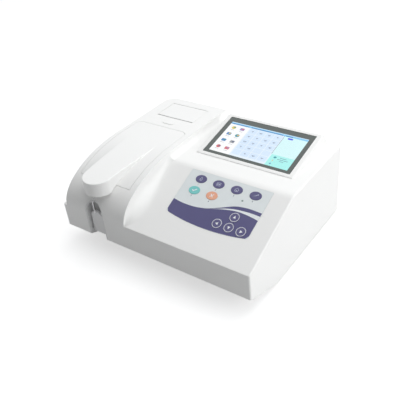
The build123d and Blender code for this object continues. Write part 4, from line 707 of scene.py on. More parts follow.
class Paint(Enum):
    """Every finish of the instrument, made once and shared."""

    CASE = MouldedPlastic("case_white", (0.86, 0.865, 0.86))
    BAY = MouldedPlastic("bay_grey", (0.80, 0.81, 0.81), roughness=0.38)
    FILM = PrintedFilm("film_grey_blue", (0.76, 0.805, 0.815))
    STRIPE = PrintedFilm("film_light_stripe", (0.80, 0.83, 0.85))
    NAVY = PrintedFilm("ink_navy", (0.088, 0.082, 0.215), roughness=0.34)
    LABEL = PrintedFilm("ink_label", (0.10, 0.10, 0.16))
    WHITE_INK = PrintedFilm("ink_white", (0.86, 0.87, 0.90))
    PALE_INK = PrintedFilm("ink_pale", (0.50, 0.52, 0.66))
    KEY_NAVY = MouldedPlastic("key_navy", (0.085, 0.080, 0.205), 0.36, coat=0.25)
    KEY_TEAL = MouldedPlastic("key_teal", (0.16, 0.62, 0.60), 0.36, coat=0.25)
    KEY_ORANGE = MouldedPlastic("key_orange", (0.86, 0.36, 0.20), 0.36, coat=0.25)
    LED = Lens("status_lens", (0.16, 0.22, 0.20))
    GLASS = PanelGlass("panel_glass", (0.066, 0.082, 0.074))
    DARK = MouldedPlastic("dark_plastic", (0.045, 0.047, 0.052), 0.5, tones=(0.92, 1.08))
    GREY = MouldedPlastic("grey_plastic", (0.36, 0.37, 0.39), 0.4)
    BLACK = MouldedPlastic("black_plastic", (0.022, 0.022, 0.024), 0.4, tones=(0.9, 1.1))
    IVORY = MouldedPlastic("ivory_plastic", (0.72, 0.70, 0.62), 0.4)
    CERAMIC = MouldedPlastic("head_ceramic", (0.30, 0.30, 0.33), 0.3, grain=0.2, coat=0.4)
    RUBBER = Rubber("black_rubber", (0.022, 0.022, 0.022))
    SILICONE = Rubber("silicone_hose", (0.80, 0.80, 0.74), 0.32, bloom=0.05, clear=0.45)
    PAPER = RollPaper("thermal_paper", (-0.113, 0.109, 0.113))
    STEEL = Metal("steel", (0.60, 0.60, 0.61), 0.28)
    BENCH = Metal("milled_aluminium", (0.74, 0.74, 0.75), 0.34, drawn=(0.05, 1.0, 1.0))
    ANODISED = Metal("black_anodised", (0.045, 0.045, 0.052), 0.45, mark=0.4, metallic=0.6)
    MOTOR = Metal("motor_shell", (0.34, 0.35, 0.37), 0.38, metallic=0.85)
    PANEL = Metal("rear_panel_paint", (0.74, 0.745, 0.74), 0.5, mark=0.8, metallic=0.05)
    PORT = Metal("port_shell", (0.60, 0.59, 0.57), 0.25)
    BRASS = Metal("gold_contact", (0.83, 0.62, 0.27), 0.25)
    DISPLAY = Metal("display_frame", (0.62, 0.62, 0.64), 0.32)
    QUARTZ = ClearGlass("quartz_glass", (0.93, 0.96, 0.97))
    FILTERS = CoatedFilters("filter_coating", (-0.129, -0.008, 0.062))
    BOARD = CircuitBoard("solder_mask", (0.012, 0.115, 0.055))
    UI_BACK = LitPicture("ui_back", (0.78, 0.88, 0.98))
    UI_WHITE = LitPicture("ui_white", (0.96, 0.97, 0.99))
    UI_HEADER = LitPicture("ui_header", (0.22, 0.58, 0.88))
    UI_DEEP = LitPicture("ui_deep_blue", (0.03, 0.20, 0.50))
    UI_TILE = LitPicture("ui_tile", (0.66, 0.80, 0.97))
    UI_MARK = LitPicture("ui_mark", (0.07, 0.10, 0.20))
    UI_CYAN = LitPicture("ui_cyan", (0.66, 0.93, 0.95))
    UI_AQUA = LitPicture("ui_aqua", (0.38, 0.88, 0.84))
    UI_ROYAL = LitPicture("ui_royal", (0.01, 0.02, 0.75))
    UI_TEAL = LitPicture("ui_teal", (0.02, 0.30, 0.36))
    UI_BLUE = LitPicture("ui_blue", (0.06, 0.22, 0.50))
    UI_GOLD = LitPicture("ui_gold", (0.72, 0.56, 0.08))
    UI_RED = LitPicture("ui_red", (0.62, 0.12, 0.14))
    UI_VIOLET = LitPicture("ui_violet", (0.34, 0.24, 0.50))
    UI_GREY = LitPicture("ui_grey", (0.30, 0.31, 0.33))
    UI_ORANGE = LitPicture("ui_orange", (0.85, 0.42, 0.06))

    def material(self) -> bpy.types.Material:
        """Return this finish's material, made at its first use."""
        return bpy.data.materials.get(self.value.name) or self.value.make()


Patch = tuple[str, list[Loop], int, Paint]


def paint(piece: bpy.types.Object, finish: Paint) -> None:
    """Give a piece one finish."""
    piece.data.materials.clear()
    piece.data.materials.append(finish.material())


# Mesh helpers


@dataclass(frozen=True)
class WorkPlane:
    """A tilted plane on the console, with u along X and v up the tilt."""

    origin: Place
    tilt: float

    def matrix(self) -> Matrix:
        """Return the map from (u, v, height) in millimetres to metres in the frame."""
        turn = Matrix.Rotation(self.tilt, 4, "X")
        return Matrix.Scale(MM, 4) @ Matrix.Translation(self.origin) @ turn


def facing(centre: Place, direction: Place) -> Matrix:
    """Return the map from a part's own Z axis to a direction at a centre, from millimetres."""
    turn = Vector(UPWARD).rotation_difference(Vector(direction)).to_matrix().to_4x4()
    return Matrix.Scale(MM, 4) @ Matrix.Translation(centre) @ turn


def upright(y: float) -> Matrix:
    """Return the map of a plane that faces the rear at a depth, with u along -X and v up."""
    return Matrix.Scale(MM, 4) @ Matrix.Translation((0, y, 0)) @ TO_REAR


def finish_mesh(name: str, mesh: bpy.types.Mesh, to_frame: Matrix) -> bpy.types.Object:
    """Weld, orient and shade a mesh and return its object.

    Args:
        name: The piece's name.
        mesh: Its mesh, in millimetres of its own plane.
        to_frame: The map to the frame.

    Returns:
        The linked object.
    """
    shape = bmesh.new()
    shape.from_mesh(mesh)
    shape.transform(to_frame)
    bmesh.ops.remove_doubles(shape, verts=shape.verts, dist=WELD)
    bmesh.ops.recalc_face_normals(shape, faces=shape.faces)
    shape.to_mesh(mesh)
    shape.free()
    mesh.shade_smooth()
    mesh.set_sharp_from_angle(angle=SHARP_ANGLE)
    mesh.name = name
    piece = bpy.data.objects.new(name, mesh)
    bpy.context.scene.collection.objects.link(piece)
    return piece


def from_curve(name: str, curve: bpy.types.Curve, to_frame: Matrix) -> bpy.types.Object:
    """Turn a curve or text into a welded mesh piece.

    Args:
        name: The piece's name.
        curve: The curve or text, in millimetres.
        to_frame: The map to the frame.

    Returns:
        The piece.
    """
    holder = bpy.data.objects.new(f"{name}_line", curve)
    bpy.context.scene.collection.objects.link(holder)
    mesh = bpy.data.meshes.new_from_object(holder)
    bpy.data.objects.remove(holder)
    return finish_mesh(name, mesh, to_frame)


def from_shape(name: str, shape: bmesh.types.BMesh, to_frame: Matrix) -> bpy.types.Object:
    """Turn an edited shape into a welded mesh piece.

    Args:
        name: The piece's name.
        shape: The shape, which is used up.
        to_frame: The map to the frame.

    Returns:
        The piece.
    """
    mesh = bpy.data.meshes.new(name)
    shape.to_mesh(mesh)
    shape.free()
    return finish_mesh(name, mesh, to_frame)


def cut_sheet(
    name: str, loops: Iterable[Loop], to_frame: Matrix, level: float, thickness: float
) -> bpy.types.Object:
    """Make a flat sheet from outlines; an outline inside another cuts a hole.

    Args:
        name: The piece's name.
        loops: Closed outlines in the sheet's plane.
        to_frame: The plane's map to the frame.
        level: Height of the sheet's underside over the plane.
        thickness: The sheet's thickness.

    Returns:
        The sheet.
    """
    curve = bpy.data.curves.new(name, "CURVE")
    curve.dimensions = "2D"
    curve.fill_mode = "BOTH"
    curve.extrude = thickness / 2
    for loop in loops:
        spline = curve.splines.new("POLY")
        spline.points.add(len(loop) - 1)
        for point, (u, v) in zip(spline.points, loop):
            point.co = (u, v, 0.0, 1.0)
        spline.use_cyclic_u = True
    return from_curve(name, curve, to_frame @ Matrix.Translation((0, 0, level + thickness / 2)))


def numeral(
    name: str, text: str, centre: Point, tall: float, to_frame: Matrix, level: float, thick: float
) -> bpy.types.Object:
    """Make a raised number or sign.

    Args:
        name: The piece's name.
        text: The number or sign.
        centre: Its centre in the plane.
        tall: The height of its type.
        to_frame: The plane's map to the frame.
        level: Height of its underside over the plane.
        thick: Its thickness.

    Returns:
        The numeral.
    """
    letters = bpy.data.curves.new(name, "FONT")
    letters.body = text
    letters.size = tall
    letters.align_x = "CENTER"
    letters.align_y = "CENTER"
    letters.extrude = thick / 2
    letters.resolution_u = 3
    return from_curve(name, letters, to_frame @ Matrix.Translation((*centre, level + thick / 2)))


def turned(
    name: str, profile: Sequence[Point], to_frame: Matrix, steps: int = ROUND_STEPS
) -> bpy.types.Object:
    """Turn a profile of (radius, height) points round the Z axis.

    Args:
        name: The piece's name.
        profile: Points from the lower end on the axis to the upper end on the axis.
        to_frame: The map to the frame.
        steps: How many facets go round.

    Returns:
        The turned piece.
    """
    shape = bmesh.new()
    points = [shape.verts.new((radius, 0.0, height)) for radius, height in profile]
    for first, second in zip(points, points[1:]):
        shape.edges.new((first, second))
    bmesh.ops.spin(
        shape,
        geom=shape.verts[:] + shape.edges[:],
        cent=(0, 0, 0),
        axis=(0, 0, 1),
        angle=FULL_TURN,
        steps=steps,
        use_merge=True,
    )
    bmesh.ops.remove_doubles(shape, verts=shape.verts, dist=WELD / MM)
    return from_shape(name, shape, to_frame)


def blocks(name: str, corners: Iterable[tuple[Place, Place]], soften: float) -> bpy.types.Object:
    """Make one piece of several blocks with softened edges.

    Args:
        name: The piece's name.
        corners: The lowest and highest corner of each block, in millimetres of the frame.
        soften: How much the edges are bevelled.

    Returns:
        The piece.
    """
    shape = bmesh.new()
    for low, high in corners:
        middle = (Vector(low) + Vector(high)) / 2
        size = Vector(high) - Vector(low)
        placed = Matrix.Translation(middle) @ Matrix.Diagonal((*size, 1))
        bmesh.ops.create_cube(shape, size=1.0, matrix=placed)
    bmesh.ops.bevel(
        shape, geom=shape.edges[:], offset=soften, segments=2, profile=0.5, affect="EDGES"
    )
    return from_shape(name, shape, Matrix.Scale(MM, 4))


def joined(name: str, pieces: Sequence[bpy.types.Object]) -> bpy.types.Object:
    """Join pieces of one finish into one object.

    Args:
        name: The new piece's name.
        pieces: The pieces, which are used up.

    Returns:
        The new piece.
    """
    shape = bmesh.new()
    for piece in pieces:
        shape.from_mesh(piece.data)
        bpy.data.objects.remove(piece)
    return from_shape(name, shape, Matrix.Identity(4))


# Outlines


def mirrored(loop: Loop) -> Loop:
    """Return a loop with its u axis turned round."""
    return [(-u, v) for u, v in loop]


def oval(centre: Point, half_u: float, half_v: float, steps: int = ROUND_STEPS) -> Loop:
    """Return an ellipse."""
    turns = [FULL_TURN * i / steps for i in range(steps)]
    return [(centre[0] + half_u * math.cos(t), centre[1] + half_v * math.sin(t)) for t in turns]


def box_loop(left: float, low: float, right: float, high: float, corner: float = 0.0) -> Loop:
    """Draw a rectangle with rounded corners.

    Args:
        left: Its least u.
        low: Its least v.
        right: Its largest u.
        high: Its largest v.
        corner: The radius of its corners.

    Returns:
        The outline, anticlockwise.
    """
    if corner <= 0:
        return [(left, low), (right, low), (right, high), (left, high)]
    loop: Loop = []
    for u, v, start in (
        (right - corner, low + corner, -0.25),
        (right - corner, high - corner, 0.0),
        (left + corner, high - corner, 0.25),
        (left + corner, low + corner, 0.5),
    ):
        for i in range(CORNER_STEPS + 1):
            turn = FULL_TURN * (start + 0.25 * i / CORNER_STEPS)
            loop.append((u + corner * math.cos(turn), v + corner * math.sin(turn)))
    return loop


def smooth_line(points: Sequence[Point], steps: int = 8) -> Loop:
    """Draw a flowing line that passes through every point.

    Args:
        points: The points, in order.
        steps: How many pieces lie between two points.

    Returns:
        The line's points.
    """
    ends = [points[0], *points, points[-1]]
    line: Loop = []
    for before, start, end, after in zip(ends, ends[1:], ends[2:], ends[3:]):
        for i in range(steps):
            t = i / steps
            line.append(
                tuple(
                    0.5
                    * (
                        2 * start[k]
                        + (end[k] - before[k]) * t
                        + (2 * before[k] - 5 * start[k] + 4 * end[k] - after[k]) * t * t
                        + (3 * start[k] - before[k] - 3 * end[k] + after[k]) * t**3
                    )
                    for k in (0, 1)
                )
            )
    line.append(points[-1])
    return line


def moved(loop: Loop, centre: Point, scale: float = 1.0, turn: float = 0.0) -> Loop:
    """Return a loop turned and scaled about the origin and then moved to a centre."""
    c, s = math.cos(turn) * scale, math.sin(turn) * scale
    return [(centre[0] + u * c - v * s, centre[1] + u * s + v * c) for u, v in loop]


def bar(start: Point, end: Point, width: float) -> Loop:
    """Draw a straight stroke between two points.

    Args:
        start: The middle of one end.
        end: The middle of the other end.
        width: The stroke's width.

    Returns:
        The outline.
    """
    du, dv = end[0] - start[0], end[1] - start[1]
    length = math.hypot(du, dv)
    nu, nv = -dv / length * width / 2, du / length * width / 2
    return [
        (start[0] + nu, start[1] + nv),
        (end[0] + nu, end[1] + nv),
        (end[0] - nu, end[1] - nv),
        (start[0] - nu, start[1] - nv),
    ]


# Sub-assemblies


@dataclass
class Piecework:
    """What every sub-assembly shares: its pieces ride on a body."""

    pieces: list[str] = field(default_factory=list, init=False)

    def fit(self, piece: bpy.types.Object, body: str, finish: Paint, slot: str) -> None:
        """Dress a piece and let it ride.

        Args:
            piece: The piece.
            body: The body that carries it.
            finish: Its finish.
            slot: Not used.
        """
        paint(piece, finish)
        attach(piece, body)
        self.pieces.append(piece.name)


@dataclass
class FlatWork(Piecework):
    """Sheets cut on one tilted plane of the console."""

    plane: WorkPlane = WorkPlane((0.0, 0.0, 0.0), 0.0)

    def sheet(
        self, name: str, loops: Iterable[Loop], level: float, thickness: float
    ) -> bpy.types.Object:
        """Return a sheet that lies on the plane at a level."""
        return cut_sheet(name, loops, self.plane.matrix(), level, thickness)


@dataclass
class Keypad(FlatWork):
    """The print on the slope's film, on the keys and under them."""

    plane: WorkPlane = WorkPlane((0.0, -154.0, 79.0), math.atan2(55.5, 132.0))
    film_left: float = 5.5
    film_right: float = 156.5
    film_side_low: float = 52.0
    film_sag: float = 8.0
    film_corner: float = 5.0
    film_top: float = 0.2
    key_top: float = 0.7
    ink: float = 0.03
    crossing: float = 0.1
    edge: float = 0.35
    edge_steps: int = 40
    wave: Outline = (
        (21.0, 74.2), (37.5, 73.5), (54.0, 74.8), (70.9, 78.5),
        (90.2, 86.9), (108.9, 95.6), (124.0, 98.9), (137.6, 99.6),
    )
    wave_ends: Span = (76.5, 98.8)
    stripe_tip: Point = (76.0, 79.3)
    stripe_high: Outline = (
        (86.0, 83.2), (97.2, 87.4), (110.0, 90.8), (121.4, 92.4), (138.2, 93.4),
    )
    stripe_low: Outline = (
        (90.0, 83.6), (104.0, 87.0), (118.0, 88.9), (132.2, 88.7), (146.0, 87.2),
    )
    stripe_end: Span = (85.4, 92.9)
    oval_first: float = 31.0
    oval_pitch: float = 33.7
    row_high: float = 123.8
    row_low: float = 101.2
    arrow_x: float = 119.8
    arrow_high: float = 78.4
    arrow_low: float = 59.6
    arrow_pitch: float = 21.2
    arrow_hole: float = 8.6
    arrow_ring: Span = (7.0, 7.75)
    label_drop: float = 11.0
    label_tall: float = 4.4
    sign_scale: float = 0.86

    def build(self) -> None:
        """Make every printed piece of the keypad."""
        self._field()
        self._ovals()
        self._arrows()
        self._labels()

    def _low_edge(self) -> Loop:
        """Draw the film's low edge with its rounded corners.

        Returns:
            The line, from left to right.
        """
        middle = (self.film_left + self.film_right) / 2
        half = (self.film_right - self.film_left) / 2
        radius = (half * half + self.film_sag**2) / (2 * self.film_sag)
        top = self.film_side_low + radius - self.film_sag
        inner = half - self.edge
        line: Loop = []
        for i in range(self.edge_steps + 1):
            u = -inner + 2 * inner * i / self.edge_steps
            v = top - math.sqrt((radius - self.edge) ** 2 - u * u)
            away = inner - abs(u)
            if away < self.film_corner:
                share = 1 - away / self.film_corner
                v += self.film_corner * (1 - math.sqrt(max(0.0, 1 - share * share)))
            line.append((middle + u, v))
        return line

    def _field(self) -> None:
        """Print the navy field with its wave, and the light stripe over it."""
        left, right = self.film_left + self.edge, self.film_right - self.edge
        wave = smooth_line([(left, self.wave_ends[0]), *self.wave, (right, self.wave_ends[1])])
        holes = [oval(place, self.arrow_hole, self.arrow_hole) for place in self._arrow_places()]
        outlines = [wave + self._low_edge()[::-1], *holes]
        navy = self.sheet("keypad_navy_field", outlines, self.film_top, self.ink)
        self.fit(navy, "case", Paint.NAVY, "key_navy")
        low, high = self.stripe_end
        upper = smooth_line([self.stripe_tip, *self.stripe_high, (right, high)])
        lower = smooth_line([self.stripe_tip, *self.stripe_low, (right, low)])
        outlines = [upper + lower[:0:-1]]
        stripe = self.sheet("keypad_light_stripe", outlines, self.film_top + self.ink, self.ink)
        self.fit(stripe, "case", Paint.STRIPE, "keypad_film")

    def _arrow_places(self) -> list[Point]:
        """Return the centres of the round keys: up, left, down and right."""
        low = [(self.arrow_x + self.arrow_pitch * i, self.arrow_low) for i in (-1, 0, 1)]
        return [(self.arrow_x, self.arrow_high), *low]

    def _oval_places(self) -> list[Point]:
        """Place the oval keys.

        Returns:
            Their centres: the upper row, then the lower one.
        """
        high = [(self.oval_first + self.oval_pitch * i, self.row_high) for i in range(4)]
        low = [(self.oval_first + self.oval_pitch * i, self.row_low) for i in range(2)]
        return high + low

    @staticmethod
    def _symbols() -> list[list[list[Loop]]]:
        """Draw the oval keys' symbols about the origin.

        Returns:
            The symbol of each key, as layers of outlines.
        """
        drop = [(0.0, 4.6), (1.6, 1.9), (2.7, -0.4), (2.6, -2.2), (1.4, -3.6), (0.0, -4.0)]
        drop = smooth_line(drop, 4)[:-1] + smooth_line(mirrored(drop[::-1]), 4)[:-1]
        dish = [box_loop(-4.4, -3.6, 4.4, 3.6, 0.8), box_loop(-3.7, -2.9, 3.7, 2.9, 0.4)]
        wells = [oval((-1.6, 0.0), 1.3, 1.8, 20), oval((1.8, 0.0), 1.3, 1.8, 20)]
        roof = [(0.0, 4.6), (5.0, 0.2), (3.4, 0.2), (3.4, -3.8), (-3.4, -3.8), (-3.4, 0.2)]
        roof.append((-5.0, 0.2))
        tick = [(-4.6, -0.2), (-3.4, 1.0), (-1.4, -1.2), (3.8, 4.0), (5.0, 2.8), (-1.4, -3.6)]
        return [
            [[drop, moved(drop, (0.0, -0.2), 0.72), oval((0.0, -1.5), 0.8, 0.8, 16)]],
            [dish + wells],
            [[roof, moved(roof, (0.0, 0.0), 0.78), box_loop(-0.9, -2.9, 0.9, -0.2)]],
            [[bar((-4.4, -3.0), (2.6, 2.0), 0.8), oval((3.7, 2.8), 1.5, 1.5, 20)]],
            [[tick]],
            [[bar((-3.2, -3.2), (3.2, 3.2), 1.5)], [bar((-3.2, 3.2), (3.2, -3.2), 1.5)]],
        ]

    def _ovals(self) -> None:
        """Print the symbols on the oval keys."""
        slots = ["key_navy"] * 4 + ["key_teal", "key_orange"]
        inks = [Paint.PALE_INK] * 4 + [Paint.WHITE_INK] * 2
        rows = zip(self._oval_places(), self._symbols(), inks, slots)
        for index, (place, layers, ink, slot) in enumerate(rows, 1):
            parts = [
                self.sheet(
                    f"key_{index}_layer_{layer}",
                    [moved(loop, place, self.sign_scale) for loop in loops],
                    self.key_top,
                    self.ink * (1 - self.crossing * layer),
                )
                for layer, loops in enumerate(layers)
            ]
            self.fit(joined(f"key_{index}_sign", parts), f"key_{index}", ink, slot)

    def _arrows(self) -> None:
        """Print the rings and triangles on the round keys."""
        triangle = [(-2.5, -1.7), (2.5, -1.7), (0.0, 3.0)]
        inner, outer = self.arrow_ring
        names = ("key_up", "key_left", "key_down", "key_right")
        turns = (0.0, 0.25, 0.5, -0.25)
        for name, place, turn in zip(names, self._arrow_places(), turns):
            sign = moved(triangle, place, 1.0, turn * FULL_TURN)
            loops = [oval(place, outer, outer), oval(place, inner, inner), sign]
            piece = self.sheet(f"{name}_sign", loops, self.key_top, self.ink)
            self.fit(piece, name, Paint.WHITE_INK, "key_navy")

    def _labels(self) -> None:
        """Print the small numbers under the oval keys."""
        parts = [
            numeral(
                f"label_{index}",
                str(index),
                (u, v - self.label_drop),
                self.label_tall,
                self.plane.matrix(),
                self.film_top,
                self.ink,
            )
            for index, (u, v) in enumerate(self._oval_places(), 1)
        ]
        self.fit(joined("keypad_numbers", parts), "case", Paint.LABEL, "keypad_film")


@dataclass
class TouchScreen(FlatWork):
    """The lit picture behind the touch glass, built up in very thin layers."""

    plane: WorkPlane = WorkPlane((0.0, 23.0, 136.5), math.radians(11.5))
    left: float = -1.0
    right: float = 148.0
    low: float = 6.5
    high: float = 85.5
    header_low: float = 80.0
    header_spans: tuple[Span, ...] = ((-0.5, 36.0), (40.0, 102.0), (107.5, 120.0))
    column_right: float = 38.5
    symbol_columns: Span = (10.0, 27.0)
    symbol_top: float = 71.5
    symbol_pitch: float = 17.2
    round_symbols: tuple[int, ...] = (0, 3, 6)
    symbol_paints: tuple[tuple[Paint, Paint], ...] = (
        (Paint.UI_GOLD, Paint.UI_TEAL),
        (Paint.UI_VIOLET, Paint.UI_RED),
        (Paint.UI_BLUE, Paint.UI_GOLD),
        (Paint.UI_TEAL, Paint.UI_ORANGE),
        (Paint.UI_BLUE, Paint.UI_TEAL),
        (Paint.UI_GREY, Paint.UI_MARK),
        (Paint.UI_RED, Paint.UI_MARK),
        (Paint.UI_RED, Paint.UI_VIOLET),
    )
    grid_left: float = 40.0
    grid_pitch: float = 16.2
    grid_columns: int = 4
    tile_width: float = 14.8
    tile_rows: tuple[float, ...] = (72.3, 58.6, 44.9, 31.2, 17.5)
    tile_tall: float = 12.4
    blank_tiles: tuple[int, ...] = (14, 15, 16)
    divider: float = 106.0
    divider_low: float = 34.0
    block_high: float = 33.0
    # Where each line starts and ends along u, and its height
    block_lines: tuple[Place, ...] = (
        (124.0, 136.0, 28.0),
        (121.0, 140.0, 24.2),
        (126.0, 134.0, 20.6),
    )
    layer: float = 0.02

    def build(self) -> None:
        """Make every patch of the picture, from the back to the front."""
        back = [box_loop(self.left, self.low, self.right, self.high)]
        patches = [("picture", back, 0, Paint.UI_BACK)]
        patches += self._header() + self._symbol_column() + self._tiles() + self._side_panel()
        for name, loops, layer, finish in patches:
            piece = self.sheet(f"screen_{name}", loops, layer * self.layer, self.layer)
            self.fit(piece, "case", finish, "screen_glass")

    def _header(self) -> list[Patch]:
        """Draw the header bar with its dark segments and its light line.

        Returns:
            Its patches.
        """
        low, high = self.header_low, self.high
        ground = [box_loop(self.left, low, self.right, high)]
        segments = [box_loop(a, low + 0.4, b, low + 2.4) for a, b in self.header_spans]
        line = [box_loop(self.left, high - 1.2, self.right, high - 0.5)]
        return [
            ("header", ground, 1, Paint.UI_HEADER),
            ("header_segments", segments, 2, Paint.UI_DEEP),
            ("header_line", line, 2, Paint.UI_WHITE),
        ]

    def _symbol_column(self) -> list[Patch]:
        """Draw the white column with its four rows of two symbols.

        Returns:
            Its patches.
        """
        ground = [box_loop(self.left, self.low, self.column_right, self.header_low)]
        patches: list[Patch] = [("symbol_column", ground, 1, Paint.UI_WHITE)]
        lines: list[Loop] = []
        for index, (body, cap) in enumerate(self.symbol_paints):
            u = self.symbol_columns[index % 2]
            v = self.symbol_top - self.symbol_pitch * (index // 2)
            shape = box_loop(u - 4.3, v - 3.0, u + 4.3, v + 3.4, 1.2)
            if index in self.round_symbols:
                shape = oval((u, v), 4.1, 3.8, 24)
            chip = moved(box_loop(-1.9, -1.3, 1.9, 1.3, 0.5), (u + 1.3, v + 0.9), 1.0, 0.5)
            name = f"symbol_{index + 1}"
            patches += [(name, [shape], 2, body), (f"{name}_cap", [chip], 3, cap)]
            lines.append(box_loop(u - 3.6, v - 6.4, u + 3.6, v - 5.7))
        return [*patches, ("symbol_lines", lines, 2, Paint.UI_GREY)]

    def _tiles(self) -> list[Patch]:
        """Draw the grid of pale tiles with their short marks.

        Returns:
            Its patches.
        """
        tiles: list[Loop] = []
        marks: list[Loop] = []
        half, tall = self.tile_width / 2, self.tile_tall / 2
        for row, v in enumerate(self.tile_rows):
            for column in range(self.grid_columns):
                u = self.grid_left + self.grid_pitch * (column + 0.5)
                tiles.append(box_loop(u - half, v - tall, u + half, v + tall, 1.0))
                if row * self.grid_columns + column in self.blank_tiles:
                    continue
                reach = 2.6 + 0.5 * ((row + 2 * column) % 3)
                marks.append(box_loop(u - reach, v + 0.4, u + reach - 1.2, v + 1.2))
                marks.append(box_loop(u - reach + 1.4, v - 1.2, u + reach - 2.2, v - 0.5))
        return [("tiles", tiles, 1, Paint.UI_TILE), ("tile_marks", marks, 2, Paint.UI_MARK)]

    def _side_panel(self) -> list[Patch]:
        """Draw the right panel with its pill, its block and the short lines.

        Returns:
            Its patches.
        """
        left, right, top = self.divider, self.right, self.header_low
        divider = [box_loop(left - 0.8, self.divider_low, left - 0.2, top)]
        leaf = moved(box_loop(-1.6, -1.1, 1.6, 1.1, 0.4), (114.5, 12.0), 1.0, 0.5)
        lines = [box_loop(a, v, b, v + 0.8) for a, b, v in self.block_lines]
        return [
            ("divider", divider, 1, Paint.UI_MARK),
            ("side_panel", [box_loop(left, self.low, right, top)], 1, Paint.UI_CYAN),
            ("pill", [box_loop(113.0, 74.4, 123.0, 78.0, 1.7)], 2, Paint.UI_ROYAL),
            ("block", [box_loop(left + 1.0, self.low, right, self.block_high)], 2, Paint.UI_AQUA),
            ("block_disc", [oval((115.5, 27.5), 2.6, 2.2, 24)], 3, Paint.UI_TEAL),
            ("block_leaf", [leaf], 3, Paint.UI_BLUE),
            ("block_peg", [box_loop(114.4, 17.6, 115.5, 21.5, 0.4)], 3, Paint.UI_ORANGE),
            ("block_lines", lines, 3, Paint.UI_MARK),
        ]


@dataclass
class RearPanel(Piecework):
    """Screws, sockets and signs on the rear panel, as (x, z) places."""

    panel_y: float = 151.0
    port_y: float = 152.0
    screw_radius: float = 2.6
    corner_screws: Outline = ((-26.0, 26.0), (-26.0, 106.0), (162.0, 26.0), (162.0, 106.0))
    fan: Point = (120.0, 86.0)
    fan_screw_reach: float = 22.3
    serial: Point = (22.0, 42.0)
    insert_y: float = 146.0
    insert_deep: float = 3.0
    insert_half_top: float = 8.4
    insert_half_low: float = 7.2
    insert_half_tall: float = 4.0
    serial_pin_y: float = 148.9
    serial_pin_pitch: float = 2.75
    serial_rows: tuple[tuple[int, float], ...] = ((5, 1.4), (4, -1.4))
    post_reach: float = 12.5
    usb: Point = (-4.0, 42.0)
    usb_tongue: Place = (5.4, 5.1, 0.9)
    usb_tongue_y: float = 146.5
    usb_contact: Place = (0.55, 4.2, 0.27)
    usb_contact_y: float = 147.0
    usb_contact_low: float = -1.15
    usb_contacts: tuple[float, ...] = (-3.6, -1.2, 1.2, 3.6)
    inlet: Point = (138.0, 42.0)
    inlet_pins: Outline = ((-7.0, -1.0), (7.0, -1.0), (0.0, 3.0))
    inlet_pin_half: Point = (1.12, 2.12)
    inlet_pin_y: Span = (139.5, 149.2)
    switch: Point = (104.0, 42.0)
    rocker_y: float = 148.0
    rocker_tilt: float = 8.0
    rocker_reach: float = 4.2
    sign_ink: float = 0.05

    def build(self) -> None:
        """Make every fitting of the rear."""
        self._screws()
        self._serial_socket()
        self._usb_socket()
        self._inlet_pins()
        self._rocker_signs()

    def _screws(self) -> None:
        """Make the low cross-head screws that stand on the panel."""
        radius, reach = self.screw_radius, self.fan_screw_reach
        profile = [
            (0.0, 0.0),
            (radius, 0.0),
            (radius * 0.96, 0.5),
            (radius * 0.7, 1.1),
            (radius * 0.3, 1.35),
            (radius * 0.25, 0.7),
            (0.0, 0.6),
        ]
        x, z = self.fan
        places = [(x + a * reach, z + b * reach) for a in (-1, 1) for b in (-1, 1)]
        heads = [
            turned(f"panel_screw_{i}", profile, facing((u, self.panel_y, v), REARWARD), 24)
            for i, (u, v) in enumerate((*places, *self.corner_screws))
        ]
        self.fit(joined("rear_panel_screws", heads), "case", Paint.STEEL, "steel")

    def _serial_socket(self) -> None:
        """Make the nine-pin socket: its black insert, pins and hexagon posts."""
        u, v = self.serial
        top, low, tall = self.insert_half_top, self.insert_half_low, self.insert_half_tall
        shape = [(u - low, v - tall), (u + low, v - tall), (u + top, v + tall), (u - top, v + tall)]
        plane = upright(self.insert_y)
        insert = cut_sheet("serial_insert", [mirrored(shape)], plane, 0.0, self.insert_deep)
        self.fit(insert, "case", Paint.BLACK, "black_plastic")
        pin = [(0.0, 0.0), (0.5, 0.0), (0.5, 3.6), (0.25, 4.2), (0.0, 4.2)]
        places = [
            (u + (i - (count - 1) / 2) * self.serial_pin_pitch, self.serial_pin_y, v + rise)
            for count, rise in self.serial_rows
            for i in range(count)
        ]
        pins = [
            turned(f"serial_pin_{i}", pin, facing(place, REARWARD), 12)
            for i, place in enumerate(places)
        ]
        self.fit(joined("serial_pins", pins), "case", Paint.BRASS, "port_metal")
        post = [(1.1, 0.4), (1.1, 1.9), (2.4, 1.9), (2.7, 1.6), (2.7, 0.0), (0.0, 0.0)]
        posts = [
            turned(f"serial_post_{x}", post, facing((u + x, self.port_y, v), REARWARD), 6)
            for x in (-self.post_reach, self.post_reach)
        ]
        self.fit(joined("serial_posts", posts), "case", Paint.STEEL, "steel")

    def _usb_socket(self) -> None:
        """Make the tongue of the small data socket and its contacts."""
        u, v = self.usb
        half, deep, thick = self.usb_tongue
        low = (u - half, self.usb_tongue_y, v - thick)
        tongue = blocks(
            "usb_tongue", [(low, (u + half, self.usb_tongue_y + deep, v + thick))], soften=0.1
        )
        self.fit(tongue, "case", Paint.IVORY, "black_plastic")
        half, deep, thick = self.usb_contact
        near, base = self.usb_contact_y, v + self.usb_contact_low
        contacts = [
            ((u + x - half, near, base), (u + x + half, near + deep, base + thick))
            for x in self.usb_contacts
        ]
        self.fit(blocks("usb_contacts", contacts, soften=0.05), "case", Paint.BRASS, "port_metal")

    def _inlet_pins(self) -> None:
        """Make the metal sleeves over the inlet's three pins."""
        u, v = self.inlet
        wide, tall = self.inlet_pin_half
        near, far = self.inlet_pin_y
        sleeves = [
            ((u + x - wide, near, v + z - tall), (u + x + wide, far, v + z + tall))
            for x, z in self.inlet_pins
        ]
        self.fit(blocks("inlet_pins", sleeves, soften=0.3), "case", Paint.STEEL, "steel")

